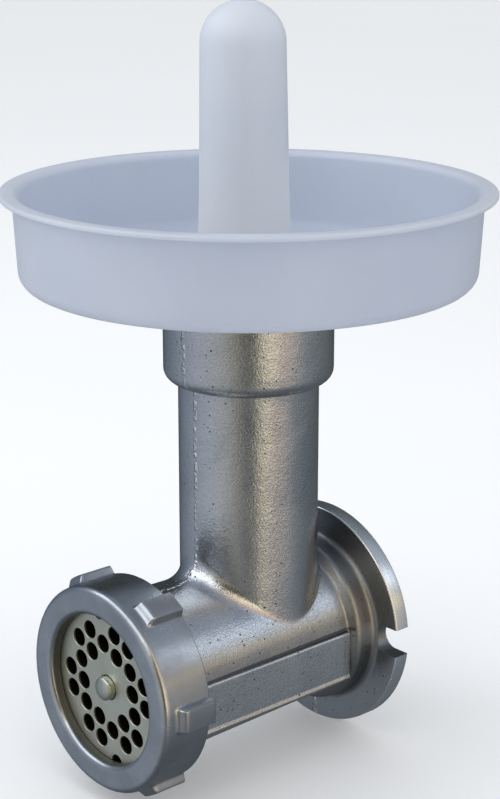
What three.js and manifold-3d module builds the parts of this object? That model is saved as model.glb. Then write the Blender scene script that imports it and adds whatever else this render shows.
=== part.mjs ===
// Mincing head of an electric meat grinder: a cast housing with a flange for the motor, a feed tube
// with a round tray and a pusher, and at the front a ring nut that holds the hole plate.
//
// Millimetres, +Z up. The origin is on the barrel's axis at the back face of the mounting flange.
// The barrel runs along -Y to the outlet. A distance "forward" is measured from the flange's back
// face towards the outlet, so it is -y.
import * as THREE from 'three';
import { mergeVertices } from 'three/addons/utils/BufferGeometryUtils.js';
import Module from 'manifold-3d';

const wasm = await Module();
wasm.setup();

// ---------------------------------------------------------------- driving dimensions
const gap = 0.3;                  // clearance between pieces that meet

// hole plate: the standard size-5 disc, which everything at the outlet is built around
const plateR = 27;
const plateThick = 6;
const plateFace = 98.1;           // forward position of the plate's front face
const holeR = 3.0;
const holeWeb = 1.27;             // metal left between neighbouring holes
const patternTurn = 37.85;        // degrees that the hexagonal pattern is turned from the +X axis
const keyTurn = 99;               // degrees, direction of the locating pin
const keywayWidth = 5.2;
const keywayDepth = 4.4;

// ring nut
const nutWall = 2.8;              // ring outside the thread's groove
const lipOverlap = 2.1;           // how far the lip reaches in over the plate
const nutLip = 4.0;               // thickness of the lip in front of the plate
const nutSkirt = 2.8;             // how far the nut reaches back past the knife's seat
const lugCount = 6;
const lugWidth = 7.9;
const lugHeight = 2.8;
const threadPitch = 3.5;
const threadHeight = 1.0;
const threadGap = 0.6;            // clearance over the thread's crest

// housing
const seatWall = 2.3;             // wall of the threaded nose
const seatStep = 4.4;             // how much narrower the chamber is than the plate
const barrelWall = 3.3;           // at the rear end
const barrelFlare = 1.2;          // radius gained from there to the nut
const rearWall = 4.2;             // chamber's rear wall, in front of the flange
const flangeRim = 10.4;           // flange outside the bead
const flangeThick = 5.8;
const beadHeight = 2.7;           // bead between the flange and the barrel
const slotWidth = 9.7;
const spigotWall = 4.2;
const spigotLength = 3;
const throatStep = 3.1;           // how much narrower the throat is than the chamber
const tubeWall = 3.5;
const tubeSetback = 8.8;          // from the flange to the feed tube's wall
const neckLength = 21.2;          // tray neck inside the collar
const collarWall = 4.45;
const collarFoot = 6.6;           // collar below the tray neck's end
const collarTop = 123.4;
const bandHeight = 1.3;           // flat band along each side of the barrel
const bandTop = 4;
const bandLow = 10.4;             // where the band's rounded lower edge starts, below the axis
const bandRound = 2.2;

// tray and pusher
const trayRimR = 78.8;
const rimWidth = 4.2;
const rimThick = 1.7;
const trayDraft = 1.5;            // how much narrower the tray is at its floor
const trayHeight = 30.4;
const trayWall = 1.9;
const trayFloorThick = 2;
const pusherHandle = 58.4;        // pusher above the tray's rim
const pusherDomeHeight = 13.2;
const pusherWall = 2.4;
const pusherTopTaper = 0.018;     // radius gained per millimetre downwards, above the knee
const pusherTaper = 0.0345;       // and below it
const pusherLean = 0.4;           // degrees that the loose pusher leans in the throat
const pusherShift = 0.45;         // how far its open end stands off the throat's axis
const pusherGap = 0.288;          // clearance left on that side

// screw, knife and drive
const screwGap = 0.6;
const screwClear = 2.4;           // from the screw's front end back from the knife's seat
const flightPitch = 22;
const flightWidth = 8;            // at its root
const coreWall = 2.8;             // screw's core round the shank, at the rear end
const coreFlare = 3;              // radius the core gains towards the knife
const washerThick = 1.6;
const bushWall = 3;
const squareDrive = 12;
const journalStep = 0.715;        // journal above the square's corners
const driveReach = 22;            // how far the drive end stands behind the flange
const shankR = 6.5;
const shankDepth = 32;
const studDepth = 18;
const bladeThick = 3.8;
const knifeSquare = 8.6;
const studProud = 3;              // stud in front of the plate
const pinR = 2;

// ---------------------------------------------------------------- sizes that follow
const deg = Math.PI / 180;
const plateBack = plateFace - plateThick;
const holePitch = 2 * holeR + holeWeb;
const nutLipBack = plateFace + gap;
const nutFront = nutLipBack + nutLip;
const nutOpeningR = plateR - lipOverlap;
const seatR = plateR + gap;                   // housing bore around the plate and the knife
const threadRootR = seatR + seatWall;
const threadCrestR = threadRootR + threadHeight;
const nutR = threadCrestR + threadGap + nutWall;
const housingFront = plateFace - 1.1;
const knifeFront = plateBack - gap;
const knifeR = plateR - 2.5;
const seatBack = knifeFront - bladeThick - 1;
const nutBack = seatBack - nutSkirt;
const keyR = keywayWidth / 2 - 0.7;

const chamberR = plateR - seatStep;           // bore that the feed screw turns in
const barrelRearR = chamberR + barrelWall;
const barrelFrontR = barrelRearR + barrelFlare;
const chamberBack = flangeThick + rearWall;
const beadR = barrelRearR + beadHeight;
const flangeR = beadR + flangeRim;
const slotReach = beadR - 0.3;                // distance from the axis to a flange slot's inner end
const bandFace = barrelRearR + bandHeight;
const throatR = chamberR - throatStep;
const tubeR = throatR + tubeWall;
const tubeForward = flangeThick + tubeSetback + tubeR;
const neckR = tubeR;                          // tray neck that plugs into the collar
const neckBottom = collarTop - neckLength;
const collarR = neckR + gap + collarWall;
const collarStart = neckBottom - collarFoot;  // height where the collar's rounded lower edge ends

const screwR = chamberR - screwGap;
const screwBack = chamberBack + washerThick + 2 * gap;
const screwFront = seatBack - screwClear;
const coreRearR = shankR + gap + coreWall;
const journalR = squareDrive * Math.SQRT1_2 + journalStep;
const bushR = journalR + gap + bushWall;
const spigotR = bushR + gap + spigotWall;
const studR = knifeSquare / 2 - 0.4;
const studRootR = studR + 0.1;

const trayFloor = collarTop + gap;            // underside of the tray
const trayRimTop = collarTop + trayHeight;
const trayWallTopR = trayRimR - rimWidth;
const trayWallBottomR = trayWallTopR - trayDraft;
const pusherTop = trayRimTop + pusherHandle;
const pusherShoulder = pusherTop - pusherDomeHeight;
const pusherKnee = trayRimTop - 1.8;          // height below which the pusher widens faster
const pusherBottom = screwR + 2;
const pusherFootR = throatR - pusherShift - pusherGap;
const kneeR = pusherFootR - pusherTaper * (pusherKnee - pusherBottom);
const pusherDomeR = kneeR - pusherTopTaper * (pusherShoulder - pusherKnee);

// ---------------------------------------------------------------- geometry helpers
const point = (x, y) => new THREE.Vector2(x, y);

// Points of an arc from one angle to another, in degrees
function arc(cx, cy, rx, from, to, steps, ry = rx) {
  const points = [];
  for (let i = 0; i <= steps; i++) {
    const t = (from + ((to - from) * i) / steps) * deg;
    points.push(point(cx + rx * Math.cos(t), cy + ry * Math.sin(t)));
  }
  return points;
}

// A manifold solid from a closed geometry, whichever way its faces were wound
function solid(geometry) {
  let g = geometry.index ? geometry : geometry.clone();
  g.deleteAttribute('normal');
  g.deleteAttribute('uv');
  g = mergeVertices(g, 1e-4);
  const xyz = g.attributes.position.array;
  const faces = [];
  let volume = 0;
  const at = (i) => new THREE.Vector3(xyz[3 * i], xyz[3 * i + 1], xyz[3 * i + 2]);
  for (let f = 0; f < g.index.count; f += 3) {
    const [a, b, c] = [g.index.array[f], g.index.array[f + 1], g.index.array[f + 2]];
    if (a === b || b === c || c === a) continue;
    faces.push(a, b, c);
    volume += at(a).dot(at(b).cross(at(c)));
  }
  if (volume < 0) faces.reverse();
  return new wasm.Manifold(new wasm.Mesh({
    numProp: 3,
    vertProperties: new Float32Array(xyz),
    triVerts: new Uint32Array(faces),
  }));
}

// A finished mesh from a manifold solid
function mesh(name, shape, look) {
  const data = shape.getMesh();
  const g = new THREE.BufferGeometry();
  const step = data.numProp;
  const xyz = new Float32Array((data.vertProperties.length / step) * 3);
  for (let i = 0; i < xyz.length / 3; i++) {
    for (let k = 0; k < 3; k++) xyz[3 * i + k] = data.vertProperties[step * i + k];
  }
  g.setAttribute('position', new THREE.BufferAttribute(xyz, 3));
  g.setIndex(new THREE.BufferAttribute(new Uint32Array(data.triVerts), 1));
  g.computeVertexNormals();
  const m = new THREE.Mesh(g, new THREE.MeshStandardMaterial(look));
  m.name = name;
  return m;
}

// Turned about the barrel's axis. Profile points are (radius, forward) and close on themselves
// or run from axis to axis
function turned(profile, segments) {
  const g = new THREE.LatheGeometry(profile, segments);
  g.rotateX(Math.PI);             // forward becomes -y
  return solid(g);
}

// Turned about the feed tube's axis. Profile points are (radius, height)
function turnedUpright(profile, segments) {
  const g = new THREE.LatheGeometry(profile, segments);
  g.rotateX(Math.PI / 2);
  g.translate(0, -tubeForward, 0);
  return solid(g);
}

// A tube profile between two radii and two stations
const sleeve = (inner, outer, from, to) => [
  point(inner, from), point(outer, from), point(outer, to), point(inner, to), point(inner, from),
];

// A solid round bar profile
const bar = (r, from, to) => [point(0, from), point(r, from), point(r, to), point(0, to)];

// A flat shape drawn in X and Z as seen from the outlet, given thickness along the barrel
function sheet(shape, from, to, curveSegments = 12) {
  const g = new THREE.ExtrudeGeometry(shape, { depth: to - from, bevelEnabled: false, curveSegments });
  g.rotateX(Math.PI / 2);         // drawn up becomes +Z, the thickness runs towards -Y
  g.translate(0, -from, 0);
  return solid(g);
}

// A box between two corners
function box(low, high) {
  const g = new THREE.BoxGeometry(high[0] - low[0], high[1] - low[1], high[2] - low[2]);
  g.translate((low[0] + high[0]) / 2, (low[1] + high[1]) / 2, (low[2] + high[2]) / 2);
  return solid(g);
}

// A ridge wound round the barrel's axis: a trapezoid from the inner radius, where it is wide, to the
// outer radius, where it is narrow. hand is 1 for right-handed and -1 for left-handed
function helix({ inner, outer, wide, narrow, from, turns, pitch, startAngle = 0, hand = 1, segments }) {
  const steps = Math.round(turns * segments);
  const xyz = [];
  const faces = [];
  for (let i = 0; i <= steps; i++) {
    const angle = startAngle * deg + (hand * 2 * Math.PI * turns * i) / steps;
    const forward = from + (pitch * turns * i) / steps;
    const corners = [[inner, -wide / 2], [outer, -narrow / 2], [outer, narrow / 2], [inner, wide / 2]];
    for (const [r, along] of corners) {
      xyz.push(r * Math.cos(angle), -(forward + along), r * Math.sin(angle));
    }
  }
  for (let i = 0; i < steps; i++) {
    for (let k = 0; k < 4; k++) {
      const [a, b] = [4 * i + k, 4 * i + ((k + 1) % 4)];
      faces.push(a, b, b + 4, a, b + 4, a + 4);
    }
  }
  const last = 4 * steps;
  faces.push(0, 2, 1, 0, 3, 2, last, last + 1, last + 2, last, last + 2, last + 3);
  const g = new THREE.BufferGeometry();
  g.setAttribute('position', new THREE.BufferAttribute(new Float32Array(xyz), 3));
  g.setIndex(faces);
  return solid(g);
}

// The same manifold solid turned about the barrel's axis, from +X towards +Z
const turn = (shape, degrees) => shape.rotate([0, -degrees, 0]);

// ---------------------------------------------------------------- looks
const cast = { color: 0x8b8d8c, roughness: 0.42, metalness: 0.9 };
const machined = { color: 0x8f979f, roughness: 0.3, metalness: 0.95 };
const steel = { color: 0x959c90, roughness: 0.35, metalness: 0.95 };
const plastic = { color: 0xc6d0e0, roughness: 0.45, metalness: 0 };
const bronze = { color: 0xa8814a, roughness: 0.4, metalness: 0.9 };
const nylon = { color: 0xe6e2d6, roughness: 0.5, metalness: 0 };

// ---------------------------------------------------------------- housing
const round = 40;                 // facets round the large turned surfaces

// Outside of the barrel, from the rear spigot to the threaded nose
const barrelProfile = [
  point(0, -spigotLength),
  point(spigotR - 0.8, -spigotLength),
  point(spigotR, -spigotLength + 0.8),
  point(spigotR, 0),
  point(flangeR - 0.6, 0),
  point(flangeR, 0.6),
  point(flangeR, flangeThick - 0.6),
  point(flangeR - 0.6, flangeThick),
  ...arc(beadR + 2, flangeThick + 2, 2, -90, -180, 2),
  ...arc(beadR - 2.6, flangeThick + 5, 2.6, 0, 70, 2),
  ...arc(barrelRearR + 1.6, flangeThick + 10, 1.6, -130, -180, 2),
  point(barrelFrontR, nutBack - 1.4),
  point(barrelFrontR, nutBack + 0.6),
  point(threadRootR, nutBack + 1.4),
  point(threadRootR, housingFront - 0.8),
  point(threadRootR - 0.8, housingFront),
  point(0, housingFront),
];
let housing = turned(barrelProfile, round);

// Barrel's outer radius at a forward position, for what is blended onto it
const barrelRearEnd = flangeThick + 10;
const barrelSlope = (barrelFrontR - barrelRearR) / (nutBack - 1.4 - barrelRearEnd);
const barrelAt = (forward) => barrelRearR + barrelSlope * Math.max(0, forward - barrelRearEnd);

// Feed tube with the collar that carries the tray
const collarLip = collarR - tubeR;
housing = housing.add(turnedUpright([
  point(0, 0),
  point(tubeR, 0),
  ...arc(tubeR, collarStart, collarLip, -90, 0, 3),
  point(collarR, collarTop - 0.8),
  point(collarR - 0.8, collarTop),
  point(0, collarTop),
], round));

// Fillet between the tube and the barrel: in each plane through the tube's axis it is an arc that
// touches the tube's wall and the barrel's surface, larger towards the outlet
function saddleFillet() {
  const around = 40;
  const across = 3;
  const rings = across + 3;
  const xyz = [];
  for (let i = 0; i < around; i++) {
    const angle = (i / around) * 2 * Math.PI;
    const [cx, cy] = [Math.cos(angle), Math.sin(angle)];
    const radius = 3.6 + 5 * Math.max(0, -cy) ** 2;
    const surface = (r) => {
      const barrelR = barrelAt(tubeForward - r * cy);
      return Math.sqrt(Math.max(1, barrelR ** 2 - (r * cx) ** 2));
    };
    const lean = (r) => {         // outward part of the barrel's normal in this plane
      const slope = (surface(r + 0.01) - surface(r - 0.01)) / 0.02;
      return -slope / Math.hypot(1, slope);
    };
    let [near, far] = [tubeR, tubeR + radius];
    for (let k = 0; k < 40; k++) {
      const middle = (near + far) / 2;
      if (middle + radius * lean(middle) < tubeR + radius) near = middle;
      else far = middle;
    }
    const centreZ = surface(near) + radius * Math.sqrt(1 - lean(near) ** 2);
    const end = Math.atan2(surface(near) - centreZ, near - (tubeR + radius));
    const ring = [[tubeR - 1.5, centreZ]];
    for (let k = 0; k <= across; k++) {
      const t = Math.PI + ((end + 2 * Math.PI - Math.PI) * k) / across;
      ring.push([tubeR + radius + radius * Math.cos(t) - 0.02, centreZ + radius * Math.sin(t) - 0.02]);
    }
    ring.push([tubeR - 1.5, surface(near) - 2.5]);
    for (const [r, z] of ring) xyz.push(r * cx, r * cy - tubeForward, z);
  }
  const faces = [];
  for (let i = 0; i < around; i++) {
    const next = (i + 1) % around;
    for (let k = 0; k < rings; k++) {
      const [a, b] = [i * rings + k, i * rings + ((k + 1) % rings)];
      const [c, d] = [next * rings + ((k + 1) % rings), next * rings + k];
      faces.push(a, b, c, a, c, d);
    }
  }
  const g = new THREE.BufferGeometry();
  g.setAttribute('position', new THREE.BufferAttribute(new Float32Array(xyz), 3));
  g.setIndex(faces);
  return solid(g);
}
housing = housing.add(saddleFillet());

// Flat band along each side of the barrel, with a crisp upper edge and a rounded lower one
for (const side of [1, -1]) {
  const outline = new THREE.Shape([
    point(side * (chamberR - 2.6), bandTop),
    point(side * bandFace, bandTop),
    ...arc(side * (bandFace - bandRound), -bandLow, side * bandRound, 0, -60, 3, bandRound),
    point(side * (chamberR - 2.6), -bandLow - 5),
  ]);
  housing = housing.add(sheet(outline, barrelRearEnd + 0.5, nutBack - 0.6));
}

// External thread for the ring nut
const thread = {
  inner: threadRootR - 0.6, outer: threadCrestR, wide: threadPitch - 1.1, narrow: threadPitch - 2.5,
  from: nutBack + 3.2, turns: (housingFront - 1.6 - nutBack - 3.2) / threadPitch, pitch: threadPitch,
  segments: 20,
};
housing = housing.add(helix(thread));

// Everything that is hollow: chamber, plate seat, throat, collar socket, bush hole, flange slots
housing = housing.subtract(turned([
  point(0, -spigotLength - 1),
  point(bushR + gap, -spigotLength - 1),
  point(bushR + gap, chamberBack),
  point(chamberR - 1, chamberBack),
  point(chamberR, chamberBack + 1),
  point(chamberR, seatBack - 1.5),
  point(seatR, seatBack),
  point(seatR, housingFront + 1),
  point(0, housingFront + 1),
], round));
housing = housing.subtract(turnedUpright([
  point(0, 0),
  point(throatR, 0),
  point(throatR, neckBottom - gap),
  point(neckR + gap, neckBottom - gap),
  point(neckR + gap, collarTop - 0.8),
  point(neckR + gap + 0.8, collarTop + 0.05),
  point(0, collarTop + 0.05),
], round));
for (const side of [1, -1]) {
  const slot = new THREE.Shape([
    point(side * (flangeR + 4), -slotWidth / 2),
    point(side * (flangeR + 4), slotWidth / 2),
    ...arc(side * (slotReach + slotWidth / 2), 0, side * slotWidth / 2, 90, 270, 8,
      slotWidth / 2),
  ]);
  housing = housing.subtract(sheet(slot, -1, flangeThick + 0.05));
}

// Locating pin that stops the plate turning, driven into the seat's wall outside the knife's reach
const keyForward = housingFront - keyR - gap - 0.5;
function radialBar(r, from, to, forward, degrees) {
  const g = new THREE.CylinderGeometry(r, r, to - from, 20);
  g.rotateZ(-Math.PI / 2);
  g.translate((from + to) / 2, -forward, 0);
  return turn(solid(g), degrees);
}
housing = housing.subtract(radialBar(keyR + gap, seatR - 1, threadCrestR + 1, keyForward, keyTurn));
const keyPin = radialBar(keyR, knifeR + 2 * gap, threadRootR - 0.2, keyForward, keyTurn);

// ---------------------------------------------------------------- ring nut
let nut = turned([
  point(nutOpeningR, nutLipBack),
  point(threadCrestR + threadGap, nutLipBack),
  point(threadCrestR + threadGap, nutLipBack - 1.4),
  point(threadRootR + 0.3, nutLipBack - 1.8),
  point(threadRootR + 0.3, nutBack + 0.8),
  point(threadCrestR + threadGap, nutBack),
  point(nutR - 0.5, nutBack),
  point(nutR, nutBack + 0.5),
  ...arc(nutR - 2, nutFront - 2, 2, 0, 90, 4),
  ...arc(nutOpeningR + 1, nutFront - 1, 1, 90, 180, 3),
  point(nutOpeningR, nutLipBack),
], round);

// Grip lugs, sloping down to the ring at their front end
for (let i = 0; i < lugCount; i++) {
  const top = nutR + lugHeight;
  const side = new THREE.Shape([
    point(nutR - 1.5, nutBack + 0.02),
    point(top - 0.8, nutBack + 0.02),
    point(top, nutBack + 0.8),
    point(top, nutFront - 6.4),
    point(top - 0.5, nutFront - 5.4),
    point(nutR - 0.1, nutFront - 4.4),
    point(nutR - 1.5, nutFront - 4.4),
  ]);
  const g = new THREE.ExtrudeGeometry(side, { depth: lugWidth, bevelEnabled: false });
  g.translate(0, 0, -lugWidth / 2);
  g.rotateX(Math.PI);             // forward becomes -y
  nut = nut.add(turn(solid(g), (360 / lugCount) * i));
}

// Internal thread: the housing's ridge with clearance all round, run out at the open end
nut = nut.subtract(helix({
  ...thread,
  outer: threadCrestR + threadGap, wide: thread.wide + 0.7, narrow: thread.narrow + 0.7,
  from: thread.from - threadPitch, turns: (nutLipBack - 1.7 - thread.from + threadPitch) / threadPitch,
}));

// ---------------------------------------------------------------- hole plate
const plateShape = new THREE.Shape();
const keyHalf = Math.asin(keywayWidth / 2 / plateR) / deg;
const keywayAngles = [keyTurn, keyTurn + 180];
const platePoints = [];
for (const angle of keywayAngles) {
  const across = point(-Math.sin(angle * deg), Math.cos(angle * deg));
  const outward = point(Math.cos(angle * deg), Math.sin(angle * deg));
  const bottom = plateR - keywayDepth + keywayWidth / 2;
  for (const s of arc(0, bottom, keywayWidth / 2, 180, 360, 6)) {
    platePoints.push(outward.clone().multiplyScalar(s.y).addScaledVector(across, s.x));
  }
  platePoints.push(...arc(0, 0, plateR, angle + keyHalf, angle + 180 - keyHalf, 28));
}
plateShape.setFromPoints(platePoints);

// A round hole in the plate
function hole(x, y, r) {
  const path = new THREE.Path();
  path.absarc(x, y, r, 0, 2 * Math.PI, true);
  return path;
}
plateShape.holes.push(hole(0, 0, studR + gap));

// Hexagonal pattern: the rings from one and a half to under three pitches from the centre
for (let row = -3; row <= 3; row++) {
  for (let column = -3; column <= 3; column++) {
    const away = Math.sqrt(row * row + row * column + column * column);
    if (away < 1.5 || away > 2.8) continue;
    const at = point(column + row / 2, (row * Math.sqrt(3)) / 2).multiplyScalar(holePitch);
    at.rotateAround(point(0, 0), patternTurn * deg);
    plateShape.holes.push(hole(at.x, at.y, holeR));
  }
}
const plate = sheet(plateShape, plateBack, plateFace, 6);

// ---------------------------------------------------------------- knife
const bladeHalf = 5.2;            // half of a blade's width at the root
const bladeSweep = 3;             // how far a blade's tip leads
const knifeShape = new THREE.Shape();
const hubR = 8.8;
const knifePoints = [];
for (let i = 0; i < 4; i++) {
  const blade = [
    point(hubR * 0.86, -bladeHalf), point(16, -bladeHalf + 0.4), point(knifeR - 1, -bladeHalf + 1.2),
    point(knifeR, -bladeHalf + 2.6), point(knifeR - 0.6, bladeSweep), point(16, bladeSweep - 0.5),
    point(hubR * 0.9, bladeSweep + 1.2),
  ];
  for (const p of blade) knifePoints.push(p.rotateAround(point(0, 0), i * 90 * deg));
}
knifeShape.setFromPoints(knifePoints);
let knife = sheet(knifeShape, knifeFront - bladeThick, knifeFront)
  .add(turned(bar(hubR, screwFront + gap, knifeFront - 0.02), 32));
const bore = knifeSquare / 2 + gap;
knife = knife.subtract(box([-bore, -knifeFront - 1, -bore], [bore, -screwFront, bore]));

// ---------------------------------------------------------------- feed screw
const coreR = (forward) => coreRearR + (coreFlare * (forward - screwBack)) / (screwFront - screwBack);
let screw = turned([
  point(0, screwBack),
  point(screwR - 6, screwBack),
  point(screwR - 6, screwBack + 2.6),
  point(coreR(screwBack + 5), screwBack + 5),
  point(coreR(screwFront), screwFront - 1),
  point(coreR(screwFront) - 1, screwFront),
  point(0, screwFront),
], 24);
screw = screw.add(helix({
  inner: 6, outer: screwR, wide: flightWidth, narrow: flightWidth - 5, from: screwBack + 4.1,
  turns: (screwFront - screwBack - 8.2) / flightPitch, pitch: flightPitch, hand: -1, segments: 24,
}));
const pinForward = screwBack + 14;
const pinHalf = coreR(pinForward) - 0.5;
function crossBar(r, half) {
  const g = new THREE.CylinderGeometry(r, r, 2 * half, 16);
  g.rotateZ(Math.PI / 2);
  g.translate(0, -pinForward, 0);
  return turn(solid(g), 35);
}
screw = screw
  .subtract(turned(bar(studRootR + gap, screwFront - studDepth, screwFront + 1), 24))
  .subtract(turned(bar(shankR + gap, screwBack - 1, screwBack + shankDepth), 32))
  .subtract(crossBar(pinR + gap, coreR(pinForward) + 1));
const crossPin = crossBar(pinR, pinHalf);

// Front stud: threaded root, square for the knife, round journal with a domed end for the plate
const studTop = plateFace + studProud;
const stud = turned([
  point(0, screwFront - studDepth + gap),
  point(studRootR, screwFront - studDepth + gap),
  point(studRootR, screwFront + gap + 0.5),
  point(studR, screwFront + gap + 0.5),
  ...arc(0, studTop - 1.3, studR, 0, 90, 4, 1.3),
], 24).add(box(
  [-knifeSquare / 2, -(plateBack - 0.6), -knifeSquare / 2],
  [knifeSquare / 2, -(screwFront + gap), knifeSquare / 2],
));

// Drive shank: journal in the bush, spigot in the screw, square end for the motor's socket
let shank = turned([
  point(0, -spigotLength - 1),
  point(journalR, -spigotLength - 1),
  point(journalR, screwBack - gap),
  point(shankR, screwBack - gap),
  point(shankR, screwBack + shankDepth - gap - 1),
  point(shankR - 1, screwBack + shankDepth - gap),
  point(0, screwBack + shankDepth - gap),
], 32);
const halfSquare = squareDrive / 2;
shank = shank.add(box([-halfSquare, spigotLength, -halfSquare], [halfSquare, driveReach - 1, halfSquare]));
shank = shank.add(box(
  [-halfSquare + 1, driveReach - 2, -halfSquare + 1],
  [halfSquare - 1, driveReach, halfSquare - 1],
));
shank = shank.subtract(crossBar(pinR + gap, shankR + 2));

const bush = turned(sleeve(journalR + gap, bushR, -spigotLength + gap, chamberBack - gap), 36);
const washerBack = chamberBack + gap;
const washer = turned(sleeve(journalR + 0.4, chamberR - 2.4, washerBack, washerBack + washerThick), 40);

// ---------------------------------------------------------------- tray
const trayInnerR = (z) => {
  const t = (z - trayFloor) / (trayRimTop - trayFloor);
  return trayWallBottomR + (trayWallTopR - trayWallBottomR) * t - trayWall;
};
const tray = turnedUpright([
  point(throatR + gap, neckBottom),
  point(neckR - 0.5, neckBottom),
  point(neckR, neckBottom + 0.5),
  point(neckR, trayFloor - 0.02),
  ...arc(trayWallBottomR - 5.5, trayFloor + 5.5, 5.5, -90, 0, 3),
  point(trayWallTopR, trayRimTop - rimThick - 1.4),
  point(trayWallTopR + 1.2, trayRimTop - rimThick),
  point(trayRimR - 0.6, trayRimTop - rimThick),
  point(trayRimR, trayRimTop - rimThick / 2),
  point(trayRimR - 0.6, trayRimTop),
  ...arc(trayWallTopR + 0.6, trayRimTop - 2.4, 2.4, 90, 165, 2),
  point(trayInnerR(trayFloor + 8), trayFloor + 8),
  ...arc(trayWallBottomR - trayWall - 5.5, trayFloor + trayFloorThick + 5.5, 5.5, -20, -90, 2),
  ...arc(throatR + gap + 3, trayFloor + trayFloorThick - 3, 3, 90, 180, 2),
  point(throatR + gap, neckBottom),
], 48);

// ---------------------------------------------------------------- pusher
const leaning = (g) => {          // towards the outlet's left, as it happens to stand
  const diagonal = Math.SQRT1_2;
  g.translate(0, 0, -pusherBottom);
  g.rotateY(-pusherLean * diagonal * deg);
  g.rotateX(pusherLean * diagonal * deg);
  g.translate(-pusherShift * diagonal, -tubeForward - pusherShift * diagonal, pusherBottom);
  return g;
};
const pusherGeometry = new THREE.LatheGeometry([
  point(pusherFootR - pusherWall, pusherBottom),
  point(pusherFootR - 0.6, pusherBottom),
  point(pusherFootR, pusherBottom + 0.6),
  point(kneeR, pusherKnee),
  ...arc(0, pusherShoulder, pusherDomeR, 0, 90, 6, pusherDomeHeight),
  ...arc(0, pusherShoulder, pusherDomeR - pusherWall, 90, 0, 4, pusherDomeHeight - pusherWall),
  point(kneeR - pusherWall, pusherKnee),
  point(pusherFootR - pusherWall, pusherBottom),
], 32);
pusherGeometry.rotateX(Math.PI / 2);
const pusher = solid(leaning(pusherGeometry));

// ---------------------------------------------------------------- the scene graph
const group = new THREE.Group();
group.name = 'mincing_head';
group.add(
  mesh('housing', housing, cast),
  mesh('plate_key_pin', keyPin, steel),
  mesh('ring_nut', nut, machined),
  mesh('hole_plate', plate, steel),
  mesh('knife', knife, steel),
  mesh('feed_screw', screw, cast),
  mesh('front_stud', stud, steel),
  mesh('drive_shank', shank, steel),
  mesh('shank_pin', crossPin, steel),
  mesh('thrust_washer', washer, nylon),
  mesh('rear_bush', bush, bronze),
  mesh('tray', tray, plastic),
  mesh('pusher', pusher, plastic),
);

export default group;
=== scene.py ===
# %% [markdown]
# # A mincing head for a gear motor
# A mincer squeezes meat down a tube with a pusher. A screw in the barrel carries it forwards, and a
# cross-shaped knife cuts it against a plate full of holes. Here the pieces of such a head get their
# final shapes and finishes. The plain engineering model is loaded first and stays fixed: it says where
# every piece is and how it moves, and the pieces below are built on top of it, in metres.

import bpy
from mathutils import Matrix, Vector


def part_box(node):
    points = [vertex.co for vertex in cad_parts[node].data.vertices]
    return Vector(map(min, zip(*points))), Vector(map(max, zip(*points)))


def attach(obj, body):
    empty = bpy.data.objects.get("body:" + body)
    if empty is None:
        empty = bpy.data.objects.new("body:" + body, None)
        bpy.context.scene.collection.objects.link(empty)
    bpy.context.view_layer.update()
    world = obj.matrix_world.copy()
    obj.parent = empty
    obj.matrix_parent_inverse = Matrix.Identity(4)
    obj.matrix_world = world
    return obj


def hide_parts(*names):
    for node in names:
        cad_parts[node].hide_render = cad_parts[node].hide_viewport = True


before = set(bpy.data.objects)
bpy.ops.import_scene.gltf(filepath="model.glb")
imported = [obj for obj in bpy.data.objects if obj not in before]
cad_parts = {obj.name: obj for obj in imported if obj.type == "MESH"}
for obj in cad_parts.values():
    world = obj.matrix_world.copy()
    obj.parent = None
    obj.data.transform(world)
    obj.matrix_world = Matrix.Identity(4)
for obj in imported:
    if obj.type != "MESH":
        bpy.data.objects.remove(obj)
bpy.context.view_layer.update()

import math

import bmesh
import bpy
from mathutils import Matrix, Vector

# %% [markdown]
# ## Sizes
# Sizes are in millimetres and lengths along the barrel are counted forwards from the flange's back
# face, so "forward" is minus Y. The outside sizes are read from the frame. What the frame can't say,
# such as the width of a slot, is named here once. A size that only one piece uses stands beside it.

# %% Sizes read from the frame
MM = 0.001


def span(node):
    """Lowest and highest corner of a frame node, in millimetres."""
    low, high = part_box(node)
    return Vector(low) / MM, Vector(high) / MM


nut_low, nut_high = span("ring_nut")
NUT_FRONT, NUT_BACK = -nut_low.y, -nut_high.y
LUG_R = nut_high.x
plate_low, plate_high = span("hole_plate")
PLATE_FACE, PLATE_BACK, PLATE_R = -plate_low.y, -plate_high.y, plate_high.x
house_low, house_high = span("housing")
NOSE_FRONT, SPIGOT_BACK, COLLAR_TOP = -house_low.y, house_high.y, house_high.z
FLANGE_R = -house_low.z
tray_low, tray_high = span("tray")
RIM_TOP, RIM_R, NECK_BOTTOM = tray_high.z, tray_high.x, tray_low.z
TUBE_Y = (tray_low.y + tray_high.y) / 2
pusher_low, pusher_high = span("pusher")
screw_low, screw_high = span("feed_screw")
SCREW_FRONT, SCREW_BACK, SCREW_R = -screw_low.y, -screw_high.y, screw_high.x
stud_low, stud_high = span("front_stud")
shank_low, shank_high = span("drive_shank")
knife_low, knife_high = span("knife")
bush_low, bush_high = span("rear_bush")
print(f"ring nut {NUT_BACK:.1f} to {NUT_FRONT:.1f}, plate radius {PLATE_R:.1f}, tray radius {RIM_R:.1f}")

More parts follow.
